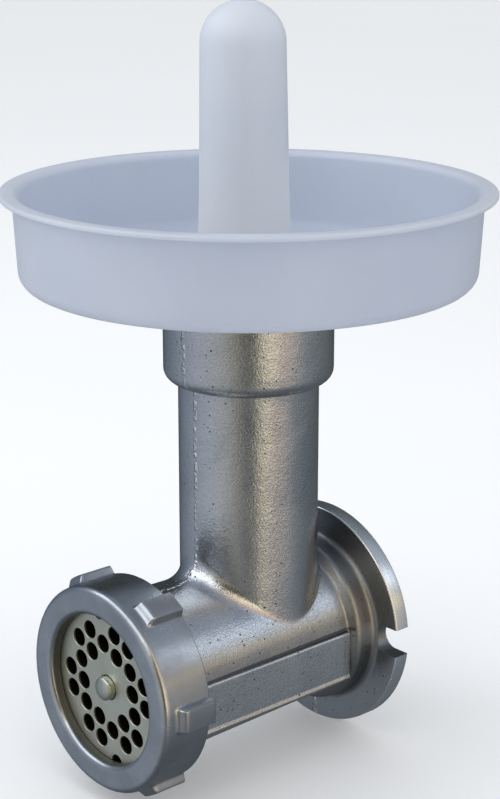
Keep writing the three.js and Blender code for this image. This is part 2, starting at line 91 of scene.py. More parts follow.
# %% Sizes the frame can't say
NUT_R = 34.0              # ring nut without its lugs
NUT_OPENING = 24.9        # radius of the hole at its front
NUT_LIP = 4.0             # thickness of the lip that holds the plate
LUG_COUNT = 6
LUG_WIDTH = 7.9
LUG_SIDE = 1.5            # width of the soft step at a lug's side
LUG_SETBACK = 4.3         # a lug starts this far behind the nut's front
LUG_SLOPE = 2.6           # and rises to its full height over this length
THREAD_PITCH = 3.5
THREAD_ROOT = 29.6        # radius of the nose between the thread's turns
THREAD_CREST = 30.6
BARREL_REAR = 25.9        # the barrel widens a little towards the nut
BARREL_FRONT = 27.1
CHAMBER_R = 22.6          # bore round the screw
SEAT_R = 27.3             # wider bore that holds the plate
FLANGE_THICK = 5.8
SPIGOT_R = 17.0           # short round step behind the flange
NECK_R = 28.9             # thicker ring of the casting in front of the flange
NECK_END = 13.4
SLOT_WIDTH = 9.7
SLOT_REACH = 28.3         # distance of the slot's inner end from the axis
TUBE_R = 23.0
THROAT_R = 19.5
COLLAR_R = 27.75
COLLAR_START = 95.6       # the collar's side is full from here up, and its underside is rounded
COLLAR_UNDER = 4.5        # height of that rounded underside
BAND_START = 16.3
BAND_FACE = 27.2          # flat face of the band along the barrel's sides
BAND_TOP = 4.0            # heights of the band's edges above and below the axis
BAND_BOTTOM = -11.3
HOLE_R = 3.0
HOLE_PITCH = 7.27
CENTRE_HOLE_R = 4.2
KEYWAY_WIDTH = 5.2
KEYWAY_DEPTH = 4.4
PATTERN_TURN = 37.85      # degrees, the hole pattern's turn about the barrel
KEY_TURN = 99.0           # degrees, direction of the plate's locating pin
PIN_TURN = 35             # degrees, direction of the cross pin that holds the shank in the screw
PIN_HOLE_R = 2.3
FILLET_R = 3.6            # where the tube meets the barrel
FILLET_EXTRA = 5.0        # how much larger it is on the side towards the nut
TRAY_FLOOR = COLLAR_TOP + 0.3
print(f"barrel radius {BARREL_REAR} to {BARREL_FRONT}, tray floor at {TRAY_FLOOR:.1f}")

# %% [markdown]
# ## Helpers for turned pieces
# Most pieces here are turned: one outline carried round an axis. Blender's Spin tool or the Screw
# modifier could do it, but a small function that writes the rings of points itself keeps the mesh
# clean, closed and evenly spaced, and lets each corner of the outline be rounded by its own radius.

# %% Outlines with rounded corners
def rounded(corners, steps=5):
    """Points of an outline whose corners are (x, y) or (x, y, radius)."""
    points = []
    for i, corner in enumerate(corners):
        here = Vector(corner[:2])
        radius = corner[2] if len(corner) > 2 else 0
        if not radius:
            points.append(here)
            continue
        before = (Vector(corners[i - 1][:2]) - here).normalized()
        after = (Vector(corners[(i + 1) % len(corners)][:2]) - here).normalized()
        half = before.angle(after) / 2
        centre = here + (before + after).normalized() * radius / math.sin(half)
        start = here + before * radius / math.tan(half) - centre
        turn = start.angle_signed(here + after * radius / math.tan(half) - centre)
        points += [centre + Matrix.Rotation(-turn * k / steps, 2) @ start for k in range(steps + 1)]
    return points


def subdivided(points, longest):
    """The same closed outline with its long stretches split, so that shading stays even."""
    result = []
    for i, here in enumerate(points):
        after = points[(i + 1) % len(points)]
        pieces = max(1, math.ceil((after - here).length / longest))
        result += [here.lerp(after, k / pieces) for k in range(pieces)]
    return result


# %% Turned solids
def as_object(name, bm):
    """A finished mesh object: doubles merged, faces outwards, corners sharper than 35 degrees kept."""
    bmesh.ops.remove_doubles(bm, verts=bm.verts, dist=1e-7)
    bmesh.ops.recalc_face_normals(bm, faces=bm.faces)
    mesh = bpy.data.meshes.new(name)
    bm.to_mesh(mesh)
    bm.free()
    mesh.shade_smooth()
    mesh.set_sharp_from_angle(angle=math.radians(35))
    obj = bpy.data.objects.new(name, mesh)
    bpy.context.collection.objects.link(obj)
    return obj


def along_barrel(radius, angle, forward):
    return Vector((radius * math.cos(angle), -forward, radius * math.sin(angle))) * MM


def up_tube(radius, angle, height):
    return Vector((radius * math.cos(angle), TUBE_Y + radius * math.sin(angle), height)) * MM


def turned(name, outline, place=along_barrel, steps=160, angles=None, shape=None):
    """A closed outline of (radius, station) carried round an axis. shape may move each point."""
    angles = angles or [2 * math.pi * k / steps for k in range(steps)]
    bm = bmesh.new()
    rings = []
    for radius, station in outline:
        if abs(radius) < 1e-6:
            rings.append([bm.verts.new(place(0, 0, station))])
            continue
        ring = []
        for angle in angles:
            r, s = shape(radius, angle, station) if shape else (radius, station)
            ring.append(bm.verts.new(place(r, angle, s)))
        rings.append(ring)
    for i, ring in enumerate(rings):
        after = rings[(i + 1) % len(rings)]
        if len(ring) == 1 and len(after) == 1:
            continue
        for k in range(len(angles)):
            n = (k + 1) % len(angles)
            corners = [ring[k % len(ring)], ring[n % len(ring)]]
            corners += [after[n % len(after)], after[k % len(after)]]
            bm.faces.new(list(dict.fromkeys(corners)))
    return as_object(name, bm)


# %% Joining and cutting
def combined(base, *others, how="UNION"):
    """base joined with, or cut by, the other objects, which are used up."""
    for other in others:
        join = base.modifiers.new("join", "BOOLEAN")
        join.operation = how
        join.object = other
        join.solver = "MANIFOLD"
    evaluated = base.evaluated_get(bpy.context.evaluated_depsgraph_get())
    mesh = bpy.data.meshes.new_from_object(evaluated)
    mesh.name = base.name
    base.modifiers.clear()
    base.data = mesh
    for other in others:
        bpy.data.objects.remove(other)
    return base


def prism(name, outline, start, end, place):
    """An outline of (x, y) points given thickness between two stations."""
    bm = bmesh.new()
    ends = [[bm.verts.new(place(x, y, s)) for x, y in outline] for s in (start, end)]
    for ring in ends:
        bm.faces.new(ring)
    for k in range(len(outline)):
        n = (k + 1) % len(outline)
        bm.faces.new([ends[0][k], ends[0][n], ends[1][n], ends[1][k]])
    return as_object(name, bm)


def across_barrel(x, z, forward):
    return Vector((x, -forward, z)) * MM


def bar_outline(radius, start, end):
    """The outline that turns into a plain round bar."""
    return [(0, start), (radius, start), (radius, end), (0, end)]


def square_outline(half, *radius):
    """A square's four corners, each with a radius if one is given."""
    return [(half * a, half * b, *radius) for a, b in ((-1, -1), (1, -1), (1, 1), (-1, 1))]


def finished(obj, smooth_below=32):
    """Smooth shading with sharp corners, after cuts. Prints the piece's size."""
    obj.data.shade_smooth()
    obj.data.set_sharp_from_angle(angle=math.radians(smooth_below))
    obj.data.calc_loop_triangles()
    print(f"{obj.name}: {len(obj.data.loop_triangles)} triangles")
    return obj


# %% [markdown]
# ## Helpers for node trees
# Shader trees and Geometry Nodes trees are written the same way: a node is added, and each of its
# inputs is either linked to another node's output or set to a value. One short function does both.
# The nodes that every finish needs, such as noise, ramps and mixed colours, get a function each.

# %% Adding nodes
def connect(tree, node, inputs):
    """Set a node's inputs. inputs maps a socket's name or number to a value or to another socket."""
    for name, value in inputs.items():
        socket = node.inputs[name]
        if isinstance(value, bpy.types.NodeSocket):
            tree.links.new(value, socket)
        else:
            socket.default_value = value


def add(tree, kind, inputs=None, **settings):
    """A new node of a kind, with its settings and inputs."""
    node = tree.nodes.new(kind)
    for name, value in settings.items():
        setattr(node, name, value)
    connect(tree, node, inputs or {})
    return node


def maths(tree, operation, *values):
    return add(tree, "ShaderNodeMath", dict(enumerate(values)), operation=operation).outputs[0]


def noise(tree, place, scale, detail=2.0):
    return add(tree, "ShaderNodeTexNoise", {"Vector": place, "Scale": scale, "Detail": detail}).outputs[0]


def ramp(tree, value, start, end, low=0.0, high=1.0):
    """Runs from low to high while the value runs from start to end."""
    return add(tree, "ShaderNodeMapRange", {
        "Value": value, "From Min": start, "From Max": end, "To Min": low, "To Max": high}).outputs[0]


def mixed(tree, share, near, far):
    """Two colours mixed. Each is another node's output or a plain (red, green, blue)."""
    near, far = [(*colour, 1) if isinstance(colour, tuple) else colour for colour in (near, far)]
    return add(tree, "ShaderNodeMix", {0: share, 6: near, 7: far}, data_type="RGBA").outputs[2]


def parts_of(tree, place):
    """The X, Y and Z of a position or direction."""
    return add(tree, "ShaderNodeSeparateXYZ", {0: place}).outputs


def off_axis(tree, part):
    """Distance from the barrel's axis, from a position's parts."""
    squares = [maths(tree, "POWER", part[letter], 2.0) for letter in "XZ"]
    return maths(tree, "SQRT", maths(tree, "ADD", *squares))


def bumped(tree, strength, depth, height):
    """A bumpy surface's normal. The depth is in metres."""
    return add(tree, "ShaderNodeBump", {"Strength": strength, "Distance": depth, "Height": height}).outputs[0]


def shader_group(name, numbers, results):
    """An empty shader group with number inputs {name: default} and number outputs."""
    tree = bpy.data.node_groups.new(name, "ShaderNodeTree")
    for label, default in numbers.items():
        socket = tree.interface.new_socket(label, in_out="INPUT", socket_type="NodeSocketFloat")
        socket.default_value = default
    for label in results:
        tree.interface.new_socket(label, in_out="OUTPUT", socket_type="NodeSocketFloat")
    return tree, tree.nodes.new("NodeGroupInput").outputs, tree.nodes.new("NodeGroupOutput").inputs


def material(name):
    """An empty material: its tree, its Principled shader and its Object coordinates in metres."""
    made = bpy.data.materials.new(name)
    made.use_nodes = True
    tree = made.node_tree
    tree.nodes.clear()
    shader = add(tree, "ShaderNodeBsdfPrincipled")
    add(tree, "ShaderNodeOutputMaterial", {"Surface": shader.outputs[0]})
    place = add(tree, "ShaderNodeTexCoord").outputs["Object"]
    return made, tree, shader, place


# %% [markdown]
# ## Surface effects of the metals
# Casting leaves a faintly wavy skin with small dark pits. Turning on a lathe leaves fine rings, which
# show only as thin stripes in the reflections. Handling leaves soft smudges, where the tone and the
# sharpness of the reflections change. Each is a small group of shader nodes, so that a metal can use
# it with its own values.

# %% Casting skin
skin, skin_in, skin_out = shader_group(
    "casting_skin", {"Pit spacing": 3.0, "Pit share": 0.3}, ("Height", "Pits", "Flecks"))
PIT_LEAST, PIT_SPREAD, PIT_EDGE = 0.07, 0.12, 0.03          # as shares of the pits' spacing
skin_place = add(skin, "ShaderNodeTexCoord").outputs["Object"]
pit_cells = add(skin, "ShaderNodeTexVoronoi", {
    "Vector": skin_place, "Scale": maths(skin, "DIVIDE", 1000.0, skin_in["Pit spacing"]), "Randomness": 1.0})
chance = add(skin, "ShaderNodeSeparateColor", {0: pit_cells.outputs["Color"]}).outputs
present = maths(skin, "LESS_THAN", chance["Red"], skin_in["Pit share"])
pit_size = maths(skin, "MULTIPLY_ADD", maths(skin, "POWER", chance["Green"], 2.0), PIT_SPREAD, PIT_LEAST)
pit_size = maths(skin, "MULTIPLY", pit_size, present)
pits = ramp(skin, maths(skin, "SUBTRACT", pit_size, pit_cells.outputs["Distance"]), -PIT_EDGE, PIT_EDGE)
waves = noise(skin, skin_place, 130.0)
pebbles = noise(skin, skin_place, 620.0)
grain = noise(skin, skin_place, 1700.0, 3.0)
fine = maths(skin, "MULTIPLY_ADD", pebbles, 0.14, maths(skin, "MULTIPLY", grain, 0.28))
rough_skin = maths(skin, "MULTIPLY_ADD", waves, 0.30, fine)
skin.links.new(maths(skin, "SUBTRACT", rough_skin, maths(skin, "MULTIPLY", pits, 0.45)), skin_out["Height"])
skin.links.new(pits, skin_out["Pits"])
skin.links.new(ramp(skin, grain, 0.32, 0.68), skin_out["Flecks"])
print("casting skin:", len(skin.nodes), "nodes")

# %% Lathe rings
rings, rings_in, rings_out = shader_group("lathe_rings", {"Spacing": 0.35}, ("Height",))
rings_part = parts_of(rings, add(rings, "ShaderNodeTexCoord").outputs["Object"])
ring_place = maths(rings, "DIVIDE", maths(rings, "ADD", off_axis(rings, rings_part), rings_part["Y"]),
                   maths(rings, "MULTIPLY", rings_in["Spacing"], MM))
ring_noise = add(rings, "ShaderNodeTexNoise", {"W": ring_place, "Scale": 1.0, "Detail": 2.0},
                 noise_dimensions="1D")
rings.links.new(ring_noise.outputs[0], rings_out["Height"])
print("lathe rings:", len(rings.nodes), "nodes")

# %% Smudges
smudge, smudge_in, smudge_out = shader_group("smudges", {"Size": 12.0}, ("Mask",))
smudge_place = add(smudge, "ShaderNodeTexCoord").outputs["Object"]
smudge_noise = add(smudge, "ShaderNodeTexNoise", {
    "Vector": smudge_place, "Scale": maths(smudge, "DIVIDE", 1000.0, smudge_in["Size"]),
    "Detail": 5.0, "Distortion": 0.6}).outputs[0]
smudge.links.new(ramp(smudge, smudge_noise, 0.3, 0.7), smudge_out["Mask"])
print("smudges:", len(smudge.nodes), "nodes")


def effect(tree, group, **values):
    """A shared effect placed in a material with its own values."""
    node = add(tree, "ShaderNodeGroup", node_tree=group)
    for label, value in values.items():
        node.inputs[label.replace("_", " ")].default_value = value
    return node.outputs


# %% [markdown]
# ## Tinned casting
# Housing and feed screw are cast iron dipped in tin, grey and bright but never evenly so: the skin waves a
# little, small pits look dark, the metal is darker and duller near the flange, painted shade sits in the
# crease above the band along the barrel and fades upwards, and a faint raised seam runs where the two
# halves of the mould met. The flange's rim, its back face and the threaded nose are machined after
# casting. An image texture could carry all this, but it would have to be unwrapped and painted. Masks on
# Object coordinates follow the sizes by themselves.

# %% Where the casting is machined, dull, painted with shade or seamed
DULL_BEHIND = 14          # all dull behind this station, in millimetres
BRIGHT_FROM = 20          # and as bright as the rest from this one on
tinned, tree, shader, place = material("tinned_casting")
part = parts_of(tree, place)
at_flange = maths(tree, "GREATER_THAN", part["Y"], -(FLANGE_THICK + 0.1) * MM)
at_edge = maths(tree, "GREATER_THAN", off_axis(tree, part), (FLANGE_R - 0.35) * MM)
rim = maths(tree, "MULTIPLY", at_edge, at_flange)
rear = maths(tree, "GREATER_THAN", part["Y"], -0.05 * MM)
nose = maths(tree, "MULTIPLY", maths(tree, "LESS_THAN", part["Z"], 33 * MM),
             maths(tree, "LESS_THAN", part["Y"], -(NUT_BACK + 0.3) * MM))
machined = maths(tree, "MAXIMUM", rim, maths(tree, "MAXIMUM", rear, nose))
dull = ramp(tree, part["Y"], -BRIGHT_FROM * MM, -DULL_BEHIND * MM)


def near_height(height, inner, outer, strength):
    """A mask that is full at one height and fades out between two distances from it."""
    away = maths(tree, "ABSOLUTE", maths(tree, "SUBTRACT", part["Z"], height * MM))
    return ramp(tree, away, inner * MM, outer * MM, strength, 0.0)


# Painted shade: a dark line in the crease above the band, and a weaker dark strip that fades upwards from it,
# only on the barrel's sides.
crease_shade = near_height(BAND_TOP + 0.5, 0.45, 0.9, 1.0)
shade_above_band = near_height(BAND_TOP + 2.0, 2.0, 5.0, 0.42)
off_band = maths(tree, "GREATER_THAN", part["Z"], (BAND_TOP + 0.1) * MM)
outside = maths(tree, "GREATER_THAN", maths(tree, "ABSOLUTE", part["X"]), (CHAMBER_R + 1) * MM)
on_barrel = maths(tree, "MULTIPLY", outside, maths(tree, "LESS_THAN", part["Y"], -DULL_BEHIND * MM))
painted_shade = maths(tree, "MAXIMUM", crease_shade, maths(tree, "MULTIPLY", shade_above_band, off_band))
shaded_barrel = maths(tree, "MULTIPLY", painted_shade, on_barrel)
wander = maths(tree, "MULTIPLY_ADD", noise(tree, place, 70.0), 0.0012, -0.0006)
off_seam = maths(tree, "ABSOLUTE", maths(tree, "ADD", part["X"], wander))
broken = ramp(tree, noise(tree, place, 480.0), 0.46, 0.56)
seam = maths(tree, "MULTIPLY", ramp(tree, off_seam, 0.0003, 0.0009, 1.0, 0.0), broken)

# %% Tinned cast iron
skin_now = effect(tree, skin, Pit_spacing=1.8, Pit_share=0.45)
marks = effect(tree, rings, Spacing=0.4)["Height"]
smudges = effect(tree, smudge, Size=18.0)["Mask"]
cast_height = maths(tree, "MULTIPLY_ADD", seam, 0.9, skin_now["Height"])
lathe_height = maths(tree, "MULTIPLY", marks, 0.12)
height = add(tree, "ShaderNodeMix", {0: machined, 2: cast_height, 3: lathe_height}).outputs[0]
blend = maths(tree, "MULTIPLY_ADD", skin_now["Flecks"], 0.55, maths(tree, "MULTIPLY", smudges, 0.45))
colour = mixed(tree, blend, (0.43, 0.455, 0.485), (0.67, 0.68, 0.69))
# Mixed in turn: darker near the flange, painted shade above the band, the bright seam and the dark pits.
for mask, strength, tone in (
        (dull, 0.74, (0.20, 0.205, 0.205)), (shaded_barrel, 0.9, (0.09, 0.095, 0.10)),
        (seam, 0.85, (0.95, 0.95, 0.94)), (skin_now["Pits"], 0.9, (0.07, 0.062, 0.055))):
    colour = mixed(tree, maths(tree, "MULTIPLY", mask, strength), colour, tone)
colour = mixed(tree, machined, colour, (0.86, 0.88, 0.90))
cast_rough = maths(tree, "MULTIPLY_ADD", dull, 0.14, maths(tree, "MULTIPLY_ADD", smudges, 0.10, 0.18))
roughness = add(tree, "ShaderNodeMix", {0: machined, 2: cast_rough, 3: 0.26}).outputs[0]
roughness = maths(tree, "MAXIMUM", roughness, maths(tree, "MULTIPLY", skin_now["Pits"], 0.6))
connect(tree, shader, {"Base Color": colour, "Roughness": roughness, "Metallic": 1.0,
                       "Normal": bumped(tree, 0.6, 0.0006, height)})
print("tinned casting:", len(tree.nodes), "nodes")

# %% [markdown]
# ## Turned and ground metal
# The ring nut is turned and then tinned, so it is smoother and bluer than the casting, and painted shade
# darkens the wall of its opening. The hole plate, the stud, the knife and the shank are ground steel.
# The plate is paler and a little greener than the nut, with painted shade inside its holes. The bush
# behind the screw is bronze. Each could have its own material tree, but only tones and strengths differ,
# so one function makes them all.

# %% Turned metal, made in several tones
def turned_metal(name, light, dark, rough, spacing, ring_strength, waviness, shade_behind=None,
                 shade_within=None):
    """A metal with lathe rings, a slightly wavy surface and smudges between two tones.
    Painted shade darkens what lies behind a station along the barrel, or within a radius, in millimetres."""
    made, tree, shader, place = material(name)
    smudges = effect(tree, smudge, Size=14.0)["Mask"]
    marks = effect(tree, rings, Spacing=spacing)["Height"]
    waves = maths(tree, "MULTIPLY", noise(tree, place, 160.0, 3.0), waviness)
    specks = noise(tree, place, 1400.0, 3.0)
    height = maths(tree, "ADD", maths(tree, "MULTIPLY", marks, ring_strength), waves)
    height = maths(tree, "MULTIPLY_ADD", specks, 0.14, height)
    patches = maths(tree, "MULTIPLY_ADD", specks, 0.5, maths(tree, "MULTIPLY", smudges, 0.7))
    tone = mixed(tree, patches, light, dark)
    rub = maths(tree, "MULTIPLY_ADD", smudges, 0.1, rough)
    # Painted shade: behind a station, or within a radius, the tone turns dark and rough, as in shaded holes
    # and openings.
    if shade_behind or shade_within:
        part = parts_of(tree, place)
        if shade_behind:
            painted_shade = (0.030, 0.024, 0.014)
            recess_shade = ramp(tree, part["Y"], (0.3 - shade_behind) * MM, (0.9 - shade_behind) * MM)
        else:
            painted_shade = (0.17, 0.17, 0.155)
            recess_shade = ramp(tree, off_axis(tree, part), (shade_within + 0.25) * MM, (shade_within + 0.05) * MM)
        tone = mixed(tree, recess_shade, tone, painted_shade)
        rub = maths(tree, "MAXIMUM", rub, maths(tree, "MULTIPLY", recess_shade, 0.6))
    connect(tree, shader, {"Base Color": tone, "Roughness": rub, "Metallic": 1.0,
                           "Normal": bumped(tree, 0.6, 0.0004, height)})
    print(f"{name}: {len(tree.nodes)} nodes")
    return made


# Painted shade darkens the wall of the nut's opening and the inside of the plate's holes.
nut_metal = turned_metal("turned_nut", (0.54, 0.56, 0.58), (0.37, 0.395, 0.425), 0.25, 0.5, 0.07, 0.5,
                         shade_within=NUT_OPENING)
plate_steel = turned_metal("ground_plate", (0.75, 0.75, 0.64), (0.60, 0.60, 0.50), 0.42, 0.3, 0.08, 0.1,
                           shade_behind=PLATE_FACE)
stud_steel = turned_metal("ground_stud", (0.60, 0.63, 0.54), (0.45, 0.48, 0.42), 0.32, 0.3, 0.08, 0.1)
tool_steel = turned_metal("tool_steel", (0.56, 0.56, 0.55), (0.46, 0.46, 0.45), 0.28, 0.3, 0.12, 0.1)
bush_bronze = turned_metal("bush_bronze", (0.66, 0.47, 0.24), (0.52, 0.36, 0.18), 0.35, 0.4, 0.1, 0.1)

# %% [markdown]
# ## White plastic
# Tray and pusher are moulded in a natural, slightly bluish white plastic. Light goes a few
# millimetres into it, so edges and thin walls glow softly and shadows are never hard. Subsurface
# scattering in the Principled shader does this. The mould's skin has a fine, even sheen with faint
# vertical draw marks.

# %% Milky plastic in two shades
def milky_plastic(name, shade, light, foot=None):
    """A cloudy white plastic between two tones. Towards a piece's foot it may turn to a paler third tone,
    painted light against the tray's shade.
    """
    made, tree, shader, place = material(name)
    cloud = noise(tree, place, 35.0, 3.0)
    tone = mixed(tree, cloud, shade, light)
    if foot:
        # Painted light: paler towards the foot, which stands in the tray's shade.
        low = ramp(tree, parts_of(tree, place)["Z"], (RIM_TOP + 22) * MM, TRAY_FLOOR * MM)
        tone = mixed(tree, low, tone, foot)
    draw_place = add(tree, "ShaderNodeMapping", {"Vector": place, "Scale": (1.0, 1.0, 0.04)}).outputs[0]
    draw_marks = noise(tree, draw_place, 700.0, 3.0)
    height = maths(tree, "MULTIPLY_ADD", draw_marks, 0.5, noise(tree, place, 420.0))
    connect(tree, shader, {
        "Base Color": tone, "Roughness": maths(tree, "MULTIPLY_ADD", cloud, 0.12, 0.36),
        "Normal": bumped(tree, 0.25, 0.0002, height), "IOR": 1.5, "Subsurface Weight": 0.6,
        "Subsurface Radius": (0.9, 1.0, 1.2), "Subsurface Scale": 0.006})
    print(f"{name}: {len(tree.nodes)} nodes")
    return made


# The pusher is the tray's plastic, painted paler as if more lit, with still more painted light towards its
# foot.
tray_plastic = milky_plastic("tray_plastic", (0.52, 0.55, 0.625), (0.58, 0.61, 0.68))
pusher_plastic = milky_plastic("pusher_plastic", (0.68, 0.73, 0.86), (0.76, 0.81, 0.93), (0.88, 0.91, 0.98))

# %% Nylon of the thrust washer
nylon, tree, shader, place = material("nylon")
fleck = noise(tree, place, 300.0, 4.0)
connect(tree, shader, {
    "Base Color": mixed(tree, fleck, (0.72, 0.70, 0.62), (0.80, 0.78, 0.70)),
    "Normal": bumped(tree, 0.3, 0.0002, fleck), "Roughness": 0.5})
print("nylon:", len(tree.nodes), "nodes")

# %% [markdown]
# ## Helixes by Geometry Nodes
# A thread and the flight of a feed screw follow the same rule: a small cross-section is carried along
# a helix. Geometry Nodes have a spiral curve for that. The tree below takes the helix's radius,
# pitch, number of turns and starting angle, and the ridge's widths, as named inputs. The profile is
# a trapezoid, drawn as a four-point curve.

# %% The helix tree
HELIX_INPUTS = ("Inner radius", "Outer radius", "Base width", "Crest width", "Pitch", "Turns", "Start",
                "First angle")


def helix_tree(finish):
    """A tree that makes a ridge wound round the barrel's axis, in metres and radians."""
    tree = bpy.data.node_groups.new("helix_ridge", "GeometryNodeTree")
    for label in HELIX_INPUTS:
        tree.interface.new_socket(label, in_out="INPUT", socket_type="NodeSocketFloat")
    tree.interface.new_socket("Left-handed", in_out="INPUT", socket_type="NodeSocketBool")
    tree.interface.new_socket("Steps per turn", in_out="INPUT", socket_type="NodeSocketInt")
    tree.interface.new_socket("Ridge", in_out="OUTPUT", socket_type="NodeSocketGeometry")
    given = tree.nodes.new("NodeGroupInput").outputs
    spiral = add(tree, "GeometryNodeCurveSpiral", {
        "Resolution": given["Steps per turn"], "Rotations": given["Turns"],
        "Start Radius": given["Inner radius"], "End Radius": given["Inner radius"],
        "Height": maths(tree, "MULTIPLY", given["Pitch"], given["Turns"]), "Reverse": given["Left-handed"]})
    upright = add(tree, "GeometryNodeSetCurveNormal", {"Curve": spiral.outputs[0]}, mode="Z_UP")
    depth = maths(tree, "SUBTRACT", given["Outer radius"], given["Inner radius"])
    half_base = maths(tree, "DIVIDE", given["Base width"], 2.0)
    half_crest = maths(tree, "DIVIDE", given["Crest width"], 2.0)
    corners = []
    for across, out in ((half_base, 0.0), (half_crest, depth)):
        corners.append((maths(tree, "MULTIPLY", across, -1.0), out))
    for across, out in ((half_crest, depth), (half_base, 0.0)):
        corners.append((across, out))
    outline = add(tree, "GeometryNodeCurvePrimitiveQuadrilateral", mode="POINTS")
    for number, (across, out) in enumerate(corners):
        spot = add(tree, "ShaderNodeCombineXYZ", {"X": out, "Y": across})
        tree.links.new(spot.outputs[0], outline.inputs[f"Point {number + 1}"])
    ridge = add(tree, "GeometryNodeCurveToMesh", {
        "Curve": upright.outputs[0], "Profile Curve": outline.outputs[0], "Fill Caps": True})
    tilt = add(tree, "ShaderNodeCombineXYZ", {"X": math.pi / 2})
    laid = add(tree, "GeometryNodeTransform", {"Geometry": ridge.outputs[0], "Rotation": tilt.outputs[0]})
    spin = add(tree, "ShaderNodeCombineXYZ", {"Y": maths(tree, "MULTIPLY", given["First angle"], -1.0)})
    shift = add(tree, "ShaderNodeCombineXYZ", {"Y": maths(tree, "MULTIPLY", given["Start"], -1.0)})
    placed = add(tree, "GeometryNodeTransform", {
        "Geometry": laid.outputs[0], "Rotation": spin.outputs[0], "Translation": shift.outputs[0]})
    real = add(tree, "GeometryNodeRealizeInstances", {"Geometry": placed.outputs[0]})
    coated = add(tree, "GeometryNodeSetMaterial", {"Geometry": real.outputs[0], "Material": finish})
    out = tree.nodes.new("NodeGroupOutput")
    tree.links.new(coated.outputs[0], out.inputs[0])
    return tree


def grown(name, tree, values):
    """The plain mesh that a Geometry Nodes tree makes with these named input values."""
    obj = bpy.data.objects.new(name, bpy.data.meshes.new(name))
    bpy.context.collection.objects.link(obj)
    modifier = obj.modifiers.new("grow", "NODES")
    modifier.node_group = tree
    for item in tree.interface.items_tree:
        if item.item_type == "SOCKET" and item.in_out == "INPUT" and item.name in values:
            modifier[item.identifier] = values[item.name]
    obj.update_tag()
    evaluated = obj.evaluated_get(bpy.context.evaluated_depsgraph_get())
    mesh = bpy.data.meshes.new_from_object(evaluated)
    obj.modifiers.remove(modifier)
    obj.data = mesh
    mesh.name = name
    return obj


def helix(name, tree, inner, outer, base, crest, pitch, turns, start, left=False, steps=64):
    """A helix whose lengths are given in millimetres."""
    lengths = {"Inner radius": inner, "Outer radius": outer, "Base width": base, "Crest width": crest,
               "Pitch": pitch, "Start": start}
    values = {label: value * MM for label, value in lengths.items()}
    values.update({"Turns": turns, "Left-handed": left, "Steps per turn": steps, "First angle": 0.0})
    return grown(name, tree, values)


casting_helix = helix_tree(tinned)
print("helix tree:", len(casting_helix.nodes), "nodes")

# %% [markdown]
# ## Housing
# The housing is one casting. It is made as the foundry pattern is: a turned barrel with its flange
# and threaded nose, a turned feed tube with a collar, a fillet where they meet, and a flat band along
# each side. These are joined, and then everything hollow is cut out in one go. One sculpted skin would
# do too, but joined solids keep every size exact.

# %% Barrel, flange and nose
ROUND = 200
barrel_end = FLANGE_THICK + 10      # the barrel widens from here to the nut
barrel_outline = rounded([
    (0, -SPIGOT_BACK), (SPIGOT_R, -SPIGOT_BACK, 0.7), (SPIGOT_R, 0, 0.3), (FLANGE_R, 0, 0.5),
    (FLANGE_R, FLANGE_THICK, 0.5), (NECK_R, FLANGE_THICK, 2.2), (NECK_R, NECK_END, 2.6),
    (BARREL_REAR, 15.6, 1.6), (BARREL_REAR + 0.1, barrel_end + 4, 3),
    (BARREL_FRONT, NUT_BACK - 1.4), (BARREL_FRONT, NUT_BACK + 0.6, 0.5),
    (THREAD_ROOT, NUT_BACK + 1.6, 0.3), (THREAD_ROOT, NOSE_FRONT, 0.7), (0, NOSE_FRONT)])
housing = turned("housing_casting", subdivided(barrel_outline, 3.0), steps=ROUND)
print("turned barrel:", len(housing.data.polygons), "faces")

# %% Feed tube and collar
tube_outline = rounded([
    (0, 0), (TUBE_R, 0), (TUBE_R, COLLAR_START - COLLAR_UNDER, 0.4),
    (COLLAR_R, COLLAR_START - COLLAR_UNDER, 4.3), (COLLAR_R, COLLAR_TOP, 0.7), (0, COLLAR_TOP)], steps=8)
tube = turned("feed_tube", subdivided(tube_outline, 4.0), place=up_tube, steps=ROUND)
print("turned tube:", len(tube.data.polygons), "faces")

# %% [markdown]
# The fillet between tube and barrel is worked out in slices through the tube's axis. In each slice
# the tube is an upright line and the barrel is a curve. The rounding is the circle that touches both,
# found by trying points along the barrel until the circle's centre sits at the right distance from
# the tube. It is larger on the side towards the nut.

# %% Fillet where the tube meets the barrel
def barrel_radius(forward):
    share = max(0.0, forward - barrel_end) / (NUT_BACK - 1.4 - barrel_end)
    return BARREL_REAR + (BARREL_FRONT - BARREL_REAR) * share


def fillet_slice(angle, across=10, sunk=0.015):
    """Points (radius, height) of the fillet in one slice, closed inside the metal."""
    cx, cy = math.cos(angle), math.sin(angle)
    size = FILLET_R + FILLET_EXTRA * max(0.0, -cy) ** 2

    def surface(r):
        return math.sqrt(max(1.0, barrel_radius(-TUBE_Y - r * cy) ** 2 - (r * cx) ** 2))

    def outward(r):
        slope = (surface(r + 0.01) - surface(r - 0.01)) / 0.02
        return -slope / math.hypot(1, slope)

    near, far = TUBE_R, TUBE_R + size
    for _ in range(40):
        middle = (near + far) / 2
        if middle + size * outward(middle) < TUBE_R + size:
            near = middle
        else:
            far = middle
    centre = surface(near) + size * math.sqrt(1 - outward(near) ** 2)
    end = math.atan2(surface(near) - centre, near - TUBE_R - size) + 2 * math.pi
    points = [(TUBE_R - 1.5, centre)]
    for k in range(across + 1):
        t = math.pi + (end - math.pi) * k / across
        points.append((TUBE_R + size + size * math.cos(t) - sunk, centre + size * math.sin(t) - sunk))
    return points + [(TUBE_R - 1.5, surface(near) - 2.5)]


